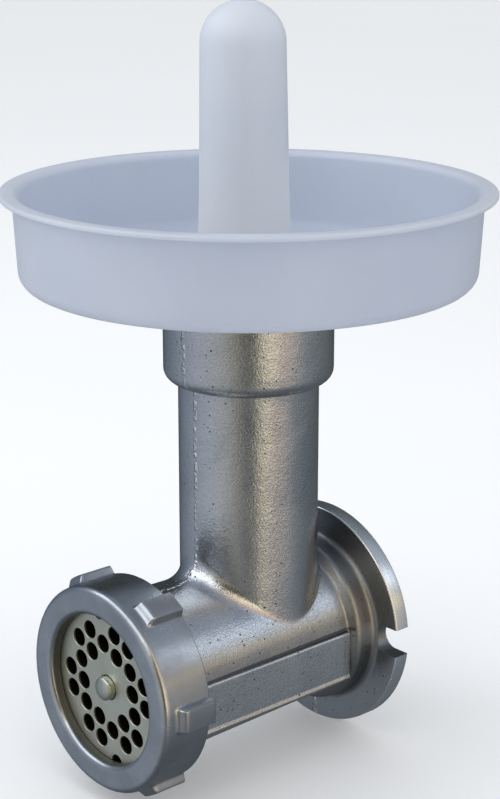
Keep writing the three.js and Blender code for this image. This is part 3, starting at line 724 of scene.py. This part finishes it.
def fillet_ring(name, around=ROUND):
    bm = bmesh.new()
    slices = []
    for k in range(around):
        angle = 2 * math.pi * k / around
        slices.append([bm.verts.new(up_tube(r, angle, z)) for r, z in fillet_slice(angle)])
    for k in range(around):
        here, after = slices[k], slices[(k + 1) % around]
        for i in range(len(here)):
            j = (i + 1) % len(here)
            bm.faces.new([here[i], here[j], after[j], after[i]])
    return as_object(name, bm)


# %% Flat bands along the sides
def side_band(side):
    """A band with a flat face and a small bead along its lower edge."""
    edge = rounded([
        (side * 20, BAND_TOP), (side * BAND_FACE, BAND_TOP, 1.0), (side * BAND_FACE, BAND_BOTTOM, 0.7),
        (side * (BAND_FACE + 0.5), -12.5, 0.45), (side * (BAND_FACE - 0.7), -13.9, 0.6),
        (side * 20, -17.5)], steps=8)
    return prism(f"band_{side}", edge, BAND_START, NUT_BACK - 0.6, across_barrel)


THREAD_START = NUT_BACK + 3.2
nose_thread = helix("nose_thread", casting_helix, THREAD_ROOT - 0.6, THREAD_CREST, 2.4, 1.0, THREAD_PITCH,
                    (NOSE_FRONT - 1.6 - THREAD_START) / THREAD_PITCH, THREAD_START)
combined(housing, tube, fillet_ring("saddle"), side_band(1), side_band(-1), nose_thread)
print("joined:", len(housing.data.polygons), "faces")

# %% Chamber, throat and flange slots
chamber = turned("chamber", rounded([
    (0, -SPIGOT_BACK - 2), (bush_high.x + 0.3, -SPIGOT_BACK - 2), (bush_high.x + 0.3, 10), (CHAMBER_R, 10, 1),
    (CHAMBER_R, PLATE_BACK - 6.6), (SEAT_R, PLATE_BACK - 5.1), (SEAT_R, NOSE_FRONT - 0.5),
    (SEAT_R + 1.5, NOSE_FRONT + 1), (0, NOSE_FRONT + 1)]), steps=ROUND)
throat = turned("throat", rounded([
    (0, 0), (THROAT_R, 0), (THROAT_R, NECK_BOTTOM - 0.3, 0.4), (TUBE_R + 0.3, NECK_BOTTOM - 0.3),
    (TUBE_R + 0.3, COLLAR_TOP - 0.8), (TUBE_R + 1.3, COLLAR_TOP + 0.2), (0, COLLAR_TOP + 0.2)]),
    place=up_tube, steps=ROUND)


def slot_cutter(side):
    """A cutter for a slot that is open at the flange's edge and round at its inner end."""
    half, past_edge = SLOT_WIDTH / 2, 45
    turns = [math.pi * k / 24 for k in range(25)]
    arc = [(side * (SLOT_REACH + half - half * math.sin(t)), half * math.cos(t)) for t in turns]
    outline = [(side * past_edge, -half), (side * past_edge, half)] + arc
    return prism(f"slot_{side}", outline, -1, FLANGE_THICK + 0.1, across_barrel)


def radial_bar(name, r, near, far, forward, degrees, steps=32):
    """A round bar that points away from the barrel's axis."""
    turn = math.radians(degrees)

    def place(radius, angle, out):
        around = Vector((-math.sin(turn), 0, math.cos(turn))) * radius * math.cos(angle)
        return (Vector((math.cos(turn), 0, math.sin(turn))) * out + around
                + Vector((0, radius * math.sin(angle) - forward, 0))) * MM

    return turned(name, bar_outline(r, near, far), place=place, steps=steps)


key_low, key_high = span("plate_key_pin")
key_forward = -(key_low.y + key_high.y) / 2
key_hole = radial_bar("key_hole", 2.2, SEAT_R - 1, THREAD_CREST + 1, key_forward, KEY_TURN)
combined(housing, chamber, throat, slot_cutter(1), slot_cutter(-1), key_hole, how="DIFFERENCE")
finished(housing, 28)
housing.data.materials.clear()
housing.data.materials.append(tinned)
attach(housing, "housing")
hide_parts("housing")

# %% [markdown]
# ## Ring nut
# The nut is a turned ring with six grip lugs. The lugs are cast with it, so their sides flow into the
# ring. Instead of joining six blocks, the ring's outline is carried round and every point of its
# outside is lifted where a lug is: a smooth step across the lug's width times a slope along its
# length. The angles are packed closely only at the lugs' sides, where the shape changes fast.

# %% Ring nut with its lugs
def smooth_step(x):
    x = min(1.0, max(0.0, x))
    return x * x * (3 - 2 * x)


def lug_height(angle, forward):
    """How far a lug lifts the ring's outside at this place, in millimetres."""
    sector = 2 * math.pi / LUG_COUNT
    off = (angle + sector / 2) % sector - sector / 2
    side = abs(off) * NUT_R
    across = smooth_step((LUG_WIDTH / 2 + LUG_SIDE / 2 - side) / LUG_SIDE)
    tip = smooth_step((NUT_FRONT - LUG_SETBACK - forward) / LUG_SLOPE)
    return (LUG_R - NUT_R) * across * tip


def lug_angles():
    sector = 2 * math.pi / LUG_COUNT
    offsets = [0.0, 1.5, 2.6]
    offsets += [LUG_WIDTH / 2 - 0.9 + 0.2 * k for k in range(10)]
    offsets += [LUG_WIDTH / 2 + 1.4 + (sector / 2 * NUT_R - LUG_WIDTH / 2 - 1.4) * k / 7 for k in range(7)]
    near = sorted({round(o / NUT_R, 6) for o in offsets} | {round(-o / NUT_R, 6) for o in offsets})
    return [a + sector * k for k in range(LUG_COUNT) for a in near]


def with_lugs(radius, angle, forward):
    if radius > NUT_R - 0.9 and forward < NUT_FRONT - 2.2:
        return radius + lug_height(angle, forward), forward
    return radius, forward


lip_back = NUT_FRONT - NUT_LIP
nut_root = THREAD_CREST + 0.6
nut_outline = rounded([
    (NUT_OPENING, lip_back), (nut_root, lip_back), (nut_root, lip_back - 1.4),
    (THREAD_ROOT + 0.3, lip_back - 1.8), (THREAD_ROOT + 0.3, NUT_BACK + 0.8), (nut_root, NUT_BACK),
    (NUT_R, NUT_BACK, 0.5), (NUT_R, NUT_FRONT, 2.2), (NUT_OPENING, NUT_FRONT, 1.9)], steps=8)
ring_nut = turned("ring_nut_turned", subdivided(nut_outline, 0.7), angles=lug_angles(), shape=with_lugs)
nut_helix = helix_tree(nut_metal)
nut_turns = (lip_back - 1.7 - NUT_BACK - 3.2 + THREAD_PITCH) / THREAD_PITCH
nut_thread = helix("nut_thread", nut_helix, THREAD_ROOT - 0.6, nut_root, 3.1, 1.7, THREAD_PITCH, nut_turns,
                   THREAD_START - THREAD_PITCH)
combined(ring_nut, nut_thread, how="DIFFERENCE")
finished(ring_nut, 35)
ring_nut.data.materials.clear()
ring_nut.data.materials.append(nut_metal)
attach(ring_nut, "ring_nut")
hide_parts("ring_nut")

# %% [markdown]
# ## Hole plate
# The plate's holes sit on a hexagonal grid, with the middle of the grid left free for the stud. That
# is a rule, so Geometry Nodes lay it out: a square grid of points is sheared into a hexagonal one,
# points too near or too far from the middle are dropped, and one drill is put at each point. The
# drill is a turned shape with a wider end, which leaves the small countersink at each hole's mouth.

# %% One drill
drill = turned("drill", rounded([
    (0, PLATE_BACK - 1), (HOLE_R, PLATE_BACK - 1), (HOLE_R, PLATE_FACE - 0.12),
    (HOLE_R + 0.7, PLATE_FACE + 0.6), (0, PLATE_FACE + 0.6)]), steps=40)
print("drill:", len(drill.data.polygons), "faces")

# %% The drilling pattern
def drill_tree(tool):
    tree = bpy.data.node_groups.new("drill_pattern", "GeometryNodeTree")
    for label in ("Pitch", "Turn", "Nearest", "Farthest"):
        tree.interface.new_socket(label, in_out="INPUT", socket_type="NodeSocketFloat")
    tree.interface.new_socket("Holes", in_out="OUTPUT", socket_type="NodeSocketGeometry")
    given = tree.nodes.new("NodeGroupInput").outputs
    grid = add(tree, "GeometryNodeMeshGrid", {
        "Size X": 6.0, "Size Y": 6.0, "Vertices X": 7, "Vertices Y": 7})
    spots = add(tree, "GeometryNodeMeshToPoints", {"Mesh": grid.outputs[0]})
    cell = parts_of(tree, add(tree, "GeometryNodeInputPosition").outputs[0])
    x = maths(tree, "MULTIPLY", maths(tree, "MULTIPLY_ADD", cell["Y"], 0.5, cell["X"]), given["Pitch"])
    z = maths(tree, "MULTIPLY", maths(tree, "MULTIPLY", cell["Y"], math.sqrt(3) / 2), given["Pitch"])
    spot = add(tree, "ShaderNodeCombineXYZ", {"X": x, "Z": z})
    sheared = add(tree, "GeometryNodeSetPosition", {
        "Geometry": spots.outputs[0], "Position": spot.outputs[0]})
    away = add(tree, "ShaderNodeVectorMath", {0: add(tree, "GeometryNodeInputPosition").outputs[0]},
               operation="LENGTH").outputs["Value"]
    outside = maths(tree, "MAXIMUM", maths(tree, "LESS_THAN", away, given["Nearest"]),
                    maths(tree, "GREATER_THAN", away, given["Farthest"]))
    kept = add(tree, "GeometryNodeDeleteGeometry", {"Geometry": sheared.outputs[0], "Selection": outside})
    tool_info = add(tree, "GeometryNodeObjectInfo", {"Object": tool})
    holes = add(tree, "GeometryNodeInstanceOnPoints", {"Points": kept.outputs[0],
                                                       "Instance": tool_info.outputs["Geometry"]})
    spin = add(tree, "ShaderNodeCombineXYZ", {"Y": maths(tree, "MULTIPLY", given["Turn"], -1.0)})
    spun = add(tree, "GeometryNodeTransform", {"Geometry": holes.outputs[0], "Rotation": spin.outputs[0]})
    real = add(tree, "GeometryNodeRealizeInstances", {"Geometry": spun.outputs[0]})
    coated = add(tree, "GeometryNodeSetMaterial", {"Geometry": real.outputs[0], "Material": plate_steel})
    tree.links.new(coated.outputs[0], tree.nodes.new("NodeGroupOutput").inputs[0])
    return tree


drills = grown("drills", drill_tree(drill), {
    "Pitch": HOLE_PITCH * MM, "Turn": math.radians(PATTERN_TURN),
    "Nearest": 1.5 * HOLE_PITCH * MM, "Farthest": 2.8 * HOLE_PITCH * MM})
print("drills:", len(drills.data.vertices) // len(drill.data.vertices))
bpy.data.objects.remove(drill)

# %% Plate with holes and keyways
plate_outline = rounded([
    (CENTRE_HOLE_R, PLATE_BACK), (PLATE_R, PLATE_BACK, 0.3), (PLATE_R, PLATE_FACE, 0.3),
    (CENTRE_HOLE_R, PLATE_FACE, 0.15)])
hole_plate = turned("hole_plate_drilled", subdivided(plate_outline, 3), steps=180)


def keyway(degrees):
    """A slot with a round bottom in the plate's edge."""
    turn = Matrix.Rotation(math.radians(degrees), 2)
    half = KEYWAY_WIDTH / 2
    bottom = PLATE_R - KEYWAY_DEPTH + half
    angles = [math.pi * k / 16 for k in range(17)]
    points = [(bottom - half * math.sin(t), -half * math.cos(t)) for t in angles]
    points += [(PLATE_R + 2, half), (PLATE_R + 2, -half)]
    return prism("keyway", [turn @ Vector(p) for p in points], PLATE_BACK - 1, PLATE_FACE + 1, across_barrel)


combined(hole_plate, drills, keyway(KEY_TURN), keyway(KEY_TURN + 180), how="DIFFERENCE")
finished(hole_plate, 30)
hole_plate.data.materials.clear()
hole_plate.data.materials.append(plate_steel)
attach(hole_plate, "plate")
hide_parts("hole_plate")

# %% [markdown]
# ## Stud, knife, screw, shank and bush
# The first four turn together inside the barrel. The stud carries the knife on a square and ends in a
# small dome in the middle of the plate. The knife has four blades with a ground front face. The screw
# is a tapering core with one left-handed flight, wound by the helix tree. The shank ends in the square
# that the motor drives, and runs in a bush that stands still in the rear wall. They could be modelled
# by hand, but turned outlines and prisms with a few cuts follow how a workshop makes them.

# %% Front stud
STUD_REAR_R, STUD_R, STUD_DOME = 4, 3.9, 1.3
dome_start = -stud_low.y - STUD_DOME
stud_outline = [(0, -stud_high.y), (STUD_REAR_R, -stud_high.y), (STUD_REAR_R, SCREW_FRONT + 0.8),
                (STUD_R, SCREW_FRONT + 0.8), (STUD_R, dome_start)]
for t in [math.pi / 2 * k / 8 for k in range(1, 9)]:
    stud_outline.append((STUD_R * math.cos(t), dome_start + STUD_DOME * math.sin(t)))
front_stud = turned("front_stud_turned", subdivided([Vector(p) for p in stud_outline], 4), steps=64)
stud_square = prism("stud_square", rounded(square_outline(stud_high.x, 0.5)),
                    SCREW_FRONT + 0.3, PLATE_BACK - 0.6, across_barrel)
combined(front_stud, stud_square)
finished(front_stud, 40)

# %% Cross knife
KNIFE_R, HUB_R, BLADE_THICK, HALF_BORE = knife_high.x, 8.8, 3.8, 4.6
knife_back, knife_front = -knife_high.y, -knife_low.y
blade = [(7.6, -5.2), (16, -4.8), (KNIFE_R - 1, -4.0), (KNIFE_R, -2.6), (KNIFE_R - 0.6, 3.0),
         (16, 2.5), (7.9, 4.2)]
cross = [Matrix.Rotation(math.pi / 2 * k, 2) @ Vector(p) for k in range(4) for p in blade]
knife = prism("cross_knife", rounded([(*p, 0.5) for p in cross], steps=3),
              knife_front - BLADE_THICK, knife_front, across_barrel)
knife_edge = knife.modifiers.new("edge", "BEVEL")
knife_edge.width = 0.25 * MM
knife_edge.segments = 2
hub = turned("hub", rounded([
    (0, knife_back), (HUB_R, knife_back, 0.8), (HUB_R, knife_front - 0.02, 0.2), (0, knife_front - 0.02)]),
    steps=64)
bore = prism("bore", square_outline(HALF_BORE), knife_back - 1, knife_front + 1, across_barrel)
combined(knife, hub)
combined(knife, bore, how="DIFFERENCE")
finished(knife, 30)

# %% Feed screw
CORE_REAR, CORE_FRONT = 9.8, 12.6
feed_screw = turned("feed_screw_cast", subdivided(rounded([
    (0, SCREW_BACK), (SCREW_R - 6, SCREW_BACK, 0.5), (SCREW_R - 6, SCREW_BACK + 2.6, 0.8),
    (CORE_REAR, SCREW_BACK + 5, 1.5), (CORE_FRONT, SCREW_FRONT, 1), (0, SCREW_FRONT)]), 3), steps=96)
FLIGHT_PITCH = 22.0
flight = helix("flight", casting_helix, 6, SCREW_R, 8, 3, FLIGHT_PITCH,
               (SCREW_FRONT - SCREW_BACK - 8.2) / FLIGHT_PITCH, SCREW_BACK + 4.1, left=True, steps=72)
combined(feed_screw, flight)
pin_low, pin_high = span("shank_pin")
pin_forward = -(pin_low.y + pin_high.y) / 2
screw_cuts = [
    turned("stud_hole", bar_outline(4.3, SCREW_FRONT - 18, SCREW_FRONT + 1), steps=48),
    turned("shank_hole", bar_outline(6.8, SCREW_BACK - 1, SCREW_BACK + 32), steps=64),
    radial_bar("pin_hole", PIN_HOLE_R, -14, 14, pin_forward, PIN_TURN)]
combined(feed_screw, *screw_cuts, how="DIFFERENCE")
finished(feed_screw, 30)

# %% Drive shank
HALF_DRIVE, SHANK_R = 6.0, 6.5
journal = shank_high.x
drive_shank = turned("drive_shank_turned", subdivided(rounded([
    (0, -SPIGOT_BACK - 1), (journal, -SPIGOT_BACK - 1, 0.8), (journal, SCREW_BACK - 0.3, 0.4),
    (SHANK_R, SCREW_BACK - 0.3), (SHANK_R, -shank_low.y, 0.8), (0, -shank_low.y)]), 4), steps=96)
drive_square = prism("drive_square", rounded(square_outline(HALF_DRIVE, 0.8)),
                     -shank_high.y, -SPIGOT_BACK, across_barrel)
drive_edge = drive_square.modifiers.new("edge", "BEVEL")
drive_edge.width = 0.9 * MM
drive_edge.segments = 3
drive_edge.limit_method = "ANGLE"
combined(drive_square)
combined(drive_shank, drive_square)
combined(drive_shank, radial_bar("pin_hole", PIN_HOLE_R, -9, 9, pin_forward, PIN_TURN), how="DIFFERENCE")
finished(drive_shank, 30)

# %% Rear bush
BUSH_WALL = 3
bush_bore = bush_high.x - BUSH_WALL
rear_bush = turned("rear_bush_bored", subdivided(rounded([
    (bush_bore, -bush_high.y, 0.4), (bush_high.x, -bush_high.y, 0.4), (bush_high.x, -bush_low.y, 0.4),
    (bush_bore, -bush_low.y, 0.4)]), 4), steps=96)
finished(rear_bush)

# %% Inner pieces ride on their bodies
for piece, metal, body, node, slot in (
        (front_stud, stud_steel, "screw", "front_stud", "steel"),
        (knife, tool_steel, "screw", "knife", "steel"),
        (feed_screw, tinned, "screw", "feed_screw", "cast_tinned"),
        (drive_shank, tool_steel, "screw", "drive_shank", "steel"),
        (rear_bush, bush_bronze, "housing", "rear_bush", "bronze")):
    piece.data.materials.clear()
    piece.data.materials.append(metal)
    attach(piece, body)
    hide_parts(node)

# %% Finishes on the frame's own small pieces
for node, coat in (("shank_pin", tool_steel), ("plate_key_pin", tool_steel), ("thrust_washer", nylon)):
    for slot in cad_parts[node].material_slots:
        slot.material = coat
    print(f"{node}: {coat.name}")

# %% [markdown]
# ## Tray and pusher
# Both are moulded with thin walls. The tray is a shallow dish with a turned-out rim and a neck that
# plugs into the collar. The pusher is a hollow cone with a domed top. It stands loosely in the throat
# and leans a little. Turning the finished object would be simpler, but the lean is put into its points,
# so that the object itself stays upright at the origin.

# %% Tray
WALL = 1.9
RIM_THICK = 1.7
WALL_TOP, WALL_BOTTOM = 74.6, 73.1      # outer radii of the dish's wall
floor_top = TRAY_FLOOR + 2
tray_outline = rounded([
    (THROAT_R + 0.3, NECK_BOTTOM, 0.4), (TUBE_R, NECK_BOTTOM, 0.6), (TUBE_R, TRAY_FLOOR, 0.0),
    (WALL_BOTTOM, TRAY_FLOOR, 5.2), (WALL_TOP, RIM_TOP - RIM_THICK, 1.0), (RIM_R, RIM_TOP - RIM_THICK, 0.7),
    (RIM_R, RIM_TOP, 0.8), (WALL_TOP - WALL, RIM_TOP, 2.4), (WALL_BOTTOM - WALL, floor_top, 5.0),
    (THROAT_R + 0.3, floor_top, 3.0)], steps=8)
tray = turned("tray_moulded", subdivided(tray_outline, 3.5), place=up_tube, steps=240)
finished(tray, 40)

# %% Pusher
DOME_R, DOME_HEIGHT, PUSHER_WALL = 13.5, 13.2, 2.4
KNEE, TOP_TAPER, TAPER = 152.0, 0.018, 0.0345      # height where the slope changes, slopes above and below
LEAN, OFF_AXIS = 0.4, 0.45                         # degrees, millimetres
shoulder = pusher_high.z - DOME_HEIGHT
knee_r = DOME_R + TOP_TAPER * (shoulder - KNEE)
base = pusher_low.z + 0.05


def lean(radius, angle, height):
    """Where a point of the upright pusher comes to lie when it leans in the throat."""
    turn, shift = math.radians(LEAN) * math.sqrt(0.5), OFF_AXIS * math.sqrt(0.5)
    tilt = Matrix.Rotation(turn, 3, "X") @ Matrix.Rotation(-turn, 3, "Y")
    foot = Vector((-shift, TUBE_Y - shift, base))
    return (foot + tilt @ Vector((radius * math.cos(angle), radius * math.sin(angle), height - base))) * MM


def dome_points(radius, rise, from_top):
    steps = [math.pi / 2 * k / 14 for k in range(15)]
    points = [Vector((radius * math.cos(t), shoulder + rise * math.sin(t))) for t in steps]
    return points[::-1] if from_top else points


foot_r = knee_r + TAPER * (KNEE - base)
foot = [(foot_r - PUSHER_WALL, base, 0.4), (foot_r, base, 0.8)]
sides = [(knee_r, KNEE)] + dome_points(DOME_R, DOME_HEIGHT, False) \
    + dome_points(DOME_R - PUSHER_WALL, DOME_HEIGHT - PUSHER_WALL, True) + [(knee_r - PUSHER_WALL, KNEE)]
pusher_outline = rounded(foot + [tuple(p) for p in sides], steps=6)
pusher = turned("pusher_moulded", subdivided(pusher_outline, 5), place=lean, steps=128)
finished(pusher, 40)
for piece, body, plastic in ((tray, "tray", tray_plastic), (pusher, "pusher", pusher_plastic)):
    piece.data.materials.append(plastic)
    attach(piece, body)
    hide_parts(body)

# %% [markdown]
# ## Floor, light and camera
# The head stands on a plain pale floor in soft light. Bare metal shows mostly what it mirrors, so the
# room it mirrors is drawn in the World: broad and cool on the left, a narrow warm light on the right, a
# dark gap between them that gives the barrel its contrast, and soft round lights above. A plain World
# and two lamps light the plastic and the floor. Lamps and floor are kept out of the reflections, so
# that each can be set without upsetting the other.

# %% Floor
bm = bmesh.new()
bmesh.ops.create_grid(bm, x_segments=8, y_segments=8, size=6)
floor = as_object("floor", bm)
floor.location.z = -(FLANGE_R + 0.4) * MM
floor_paint, tree, shader, place = material("pale_floor")
cloud = noise(tree, place, 3.0)
to_camera = add(tree, "ShaderNodeLightPath").outputs["Is Camera Ray"]
connect(tree, shader, {
    "Base Color": mixed(tree, cloud, (0.90, 0.90, 0.90), (0.93, 0.93, 0.93)), "Roughness": 0.9,
    "Emission Color": (1, 1, 1, 1), "Emission Strength": maths(tree, "MULTIPLY", to_camera, 0.14)})
floor.data.materials.append(floor_paint)
floor.visible_glossy = False
print(f"floor at {floor.location.z / MM:.1f} mm")

# %% What the metal mirrors
# Colours round the room, as (degrees from +X towards +Y, colour): level with the piece, and below it.
LEVEL = [
    (-180, (0.17, 0.21, 0.27)), (-150, (0.28, 0.33, 0.41)), (-125, (0.47, 0.51, 0.60)),
    (-105, (0.62, 0.64, 0.69)), (-85, (0.60, 0.61, 0.61)), (-68, (0.56, 0.52, 0.43)),
    (-56, (0.46, 0.38, 0.25)), (-48, (0.07, 0.07, 0.05)), (-26, (0.02, 0.025, 0.02)),
    (-21, (1.95, 1.66, 1.14)), (-9, (1.75, 1.52, 1.08)), (0, (0.80, 0.60, 0.46)),
    (10, (1.15, 0.82, 0.66)), (21, (0.95, 0.78, 0.64)), (30, (0.40, 0.41, 0.42)),
    (60, (0.28, 0.30, 0.31)), (88, (0.17, 0.185, 0.185)), (110, (0.08, 0.09, 0.09)),
    (150, (0.04, 0.05, 0.05)), (180, (0.17, 0.21, 0.27))]
BELOW = [
    (-180, (0.20, 0.24, 0.29)), (-150, (0.31, 0.36, 0.42)), (-125, (0.44, 0.48, 0.55)),
    (-85, (0.43, 0.45, 0.48)), (-62, (0.31, 0.325, 0.33)), (-50, (0.23, 0.24, 0.245)),
    (-35, (0.20, 0.21, 0.22)), (-27, (0.52, 0.48, 0.40)), (-16, (0.42, 0.40, 0.36)),
    (-6, (0.33, 0.34, 0.35)), (20, (0.27, 0.30, 0.33)), (60, (0.15, 0.18, 0.20)),
    (90, (0.13, 0.15, 0.165)), (150, (0.05, 0.06, 0.06)), (180, (0.20, 0.24, 0.29))]
world = bpy.data.worlds.new("studio")
bpy.context.scene.world = world
world.use_nodes = True
tree = world.node_tree
tree.nodes.clear()
towards = add(tree, "ShaderNodeTexCoord").outputs["Generated"]
part = parts_of(tree, towards)
bearing = maths(tree, "MULTIPLY_ADD", maths(tree, "ARCTAN2", part["Y"], part["X"]), 0.5 / math.pi, 0.5)


def surroundings(colours):
    """The colours as a smooth ring round the room."""
    ring = add(tree, "ShaderNodeValToRGB", {0: bearing})
    stops = ring.color_ramp.elements
    while len(stops) > 1:
        stops.remove(stops[-1])
    for number, (degrees, colour) in enumerate(colours):
        stop = stops[0] if number == 0 else stops.new((degrees + 180) / 360)
        stop.position = (degrees + 180) / 360
        stop.color = (*colour, 1)
    return ring.outputs[0]


def softbox(below, degrees, height, inner, outer, colour):
    """A soft round light in the mirrored room: bearing, height and half-widths in degrees."""
    a, e = math.radians(degrees), math.radians(height)
    aim = (math.cos(a) * math.cos(e), math.sin(a) * math.cos(e), math.sin(e))
    near = add(tree, "ShaderNodeVectorMath", {0: towards, 1: aim}, operation="DOT_PRODUCT").outputs["Value"]
    share = add(tree, "ShaderNodeMapRange", {
        "Value": near, "From Min": math.cos(math.radians(outer)), "From Max": math.cos(math.radians(inner))},
        interpolation_type="SMOOTHSTEP").outputs[0]
    return mixed(tree, share, below, colour)


def by_height(start, end, near, far):
    """Mix two colours between two heights of the direction, given as sines."""
    return mixed(tree, ramp(tree, part["Z"], start, end), near, far)


room = by_height(-0.245, -0.295, surroundings(LEVEL), surroundings(BELOW))
room = by_height(0.55, 0.95, room, (0.20, 0.23, 0.28))
room = by_height(-0.45, -0.85, room, (0.13, 0.145, 0.16))
room = softbox(room, 55, 44, 5, 24, (0.36, 0.41, 0.49))
room = softbox(room, 46, 28, 4, 12, (1.40, 1.54, 1.76))
room = softbox(room, 40, 10, 3, 8, (1.20, 0.95, 0.58))
room = softbox(room, -142, 42, 8, 20, (2.2, 2.35, 2.5))
room = softbox(room, -108, 44, 8, 20, (2.2, 2.35, 2.5))
room = softbox(room, -76, 44, 8, 20, (2.1, 2.15, 2.2))
room = softbox(room, -48, 50, 5, 14, (1.9, 1.9, 1.85))
print("mirrored room:", len(tree.nodes), "nodes")

# %% World: white to the camera, the room to glossy rays, soft light to the rest
light_path = add(tree, "ShaderNodeLightPath").outputs
seen = add(tree, "ShaderNodeBackground", {"Color": (1, 1, 1, 1), "Strength": 1.0})
soft = add(tree, "ShaderNodeBackground", {"Color": (0.93, 0.96, 1.0, 1), "Strength": 0.78})
mirrored = add(tree, "ShaderNodeBackground", {"Color": room, "Strength": 1.0})
unseen = add(tree, "ShaderNodeMixShader", {
    0: light_path["Is Glossy Ray"], 1: soft.outputs[0], 2: mirrored.outputs[0]})
pick = add(tree, "ShaderNodeMixShader", {
    0: light_path["Is Camera Ray"], 1: unseen.outputs[0], 2: seen.outputs[0]})
add(tree, "ShaderNodeOutputWorld", {"Surface": pick.outputs[0]})
print("world:", len(tree.nodes), "nodes")

# %% Lamps
def lamp(name, place, target, size, power, colour):
    """A rectangular soft lamp that faces a target. Places are in metres."""
    data = bpy.data.lights.new(name, "AREA")
    data.shape = "RECTANGLE"
    data.size, data.size_y = size
    data.energy = power
    data.color = colour
    obj = bpy.data.objects.new(name, data)
    bpy.context.collection.objects.link(obj)
    obj.location = place
    obj.rotation_euler = (Vector(target) - Vector(place)).to_track_quat("-Z", "Y").to_euler()
    obj.visible_glossy = False
    print(f"{name}: {power} W")


middle = (0, -0.04, 0.08)
lamp("left_window", (-0.9, -0.9, 0.7), middle, (0.7, 1.0), 3.5, (0.92, 0.96, 1.0))
lamp("top", (0.1, -0.2, 1.3), middle, (0.9, 0.9), 3.0, (0.97, 0.98, 1.0))

# %% Camera
camera_data = bpy.data.cameras.new("camera")
camera_data.lens = 85.24
camera_data.sensor_width = 36
camera_data.clip_start = 0.01
camera = bpy.data.objects.new("camera", camera_data)
bpy.context.collection.objects.link(camera)
camera.location = (0.4400, -0.4348, 0.2589)
camera.rotation_euler = (math.radians(90 - 16.47), 0, math.radians(47.88))
bpy.context.scene.camera = camera
bpy.context.scene.view_settings.view_transform = "Standard"
print(f"camera: {camera_data.lens:.1f} mm lens")
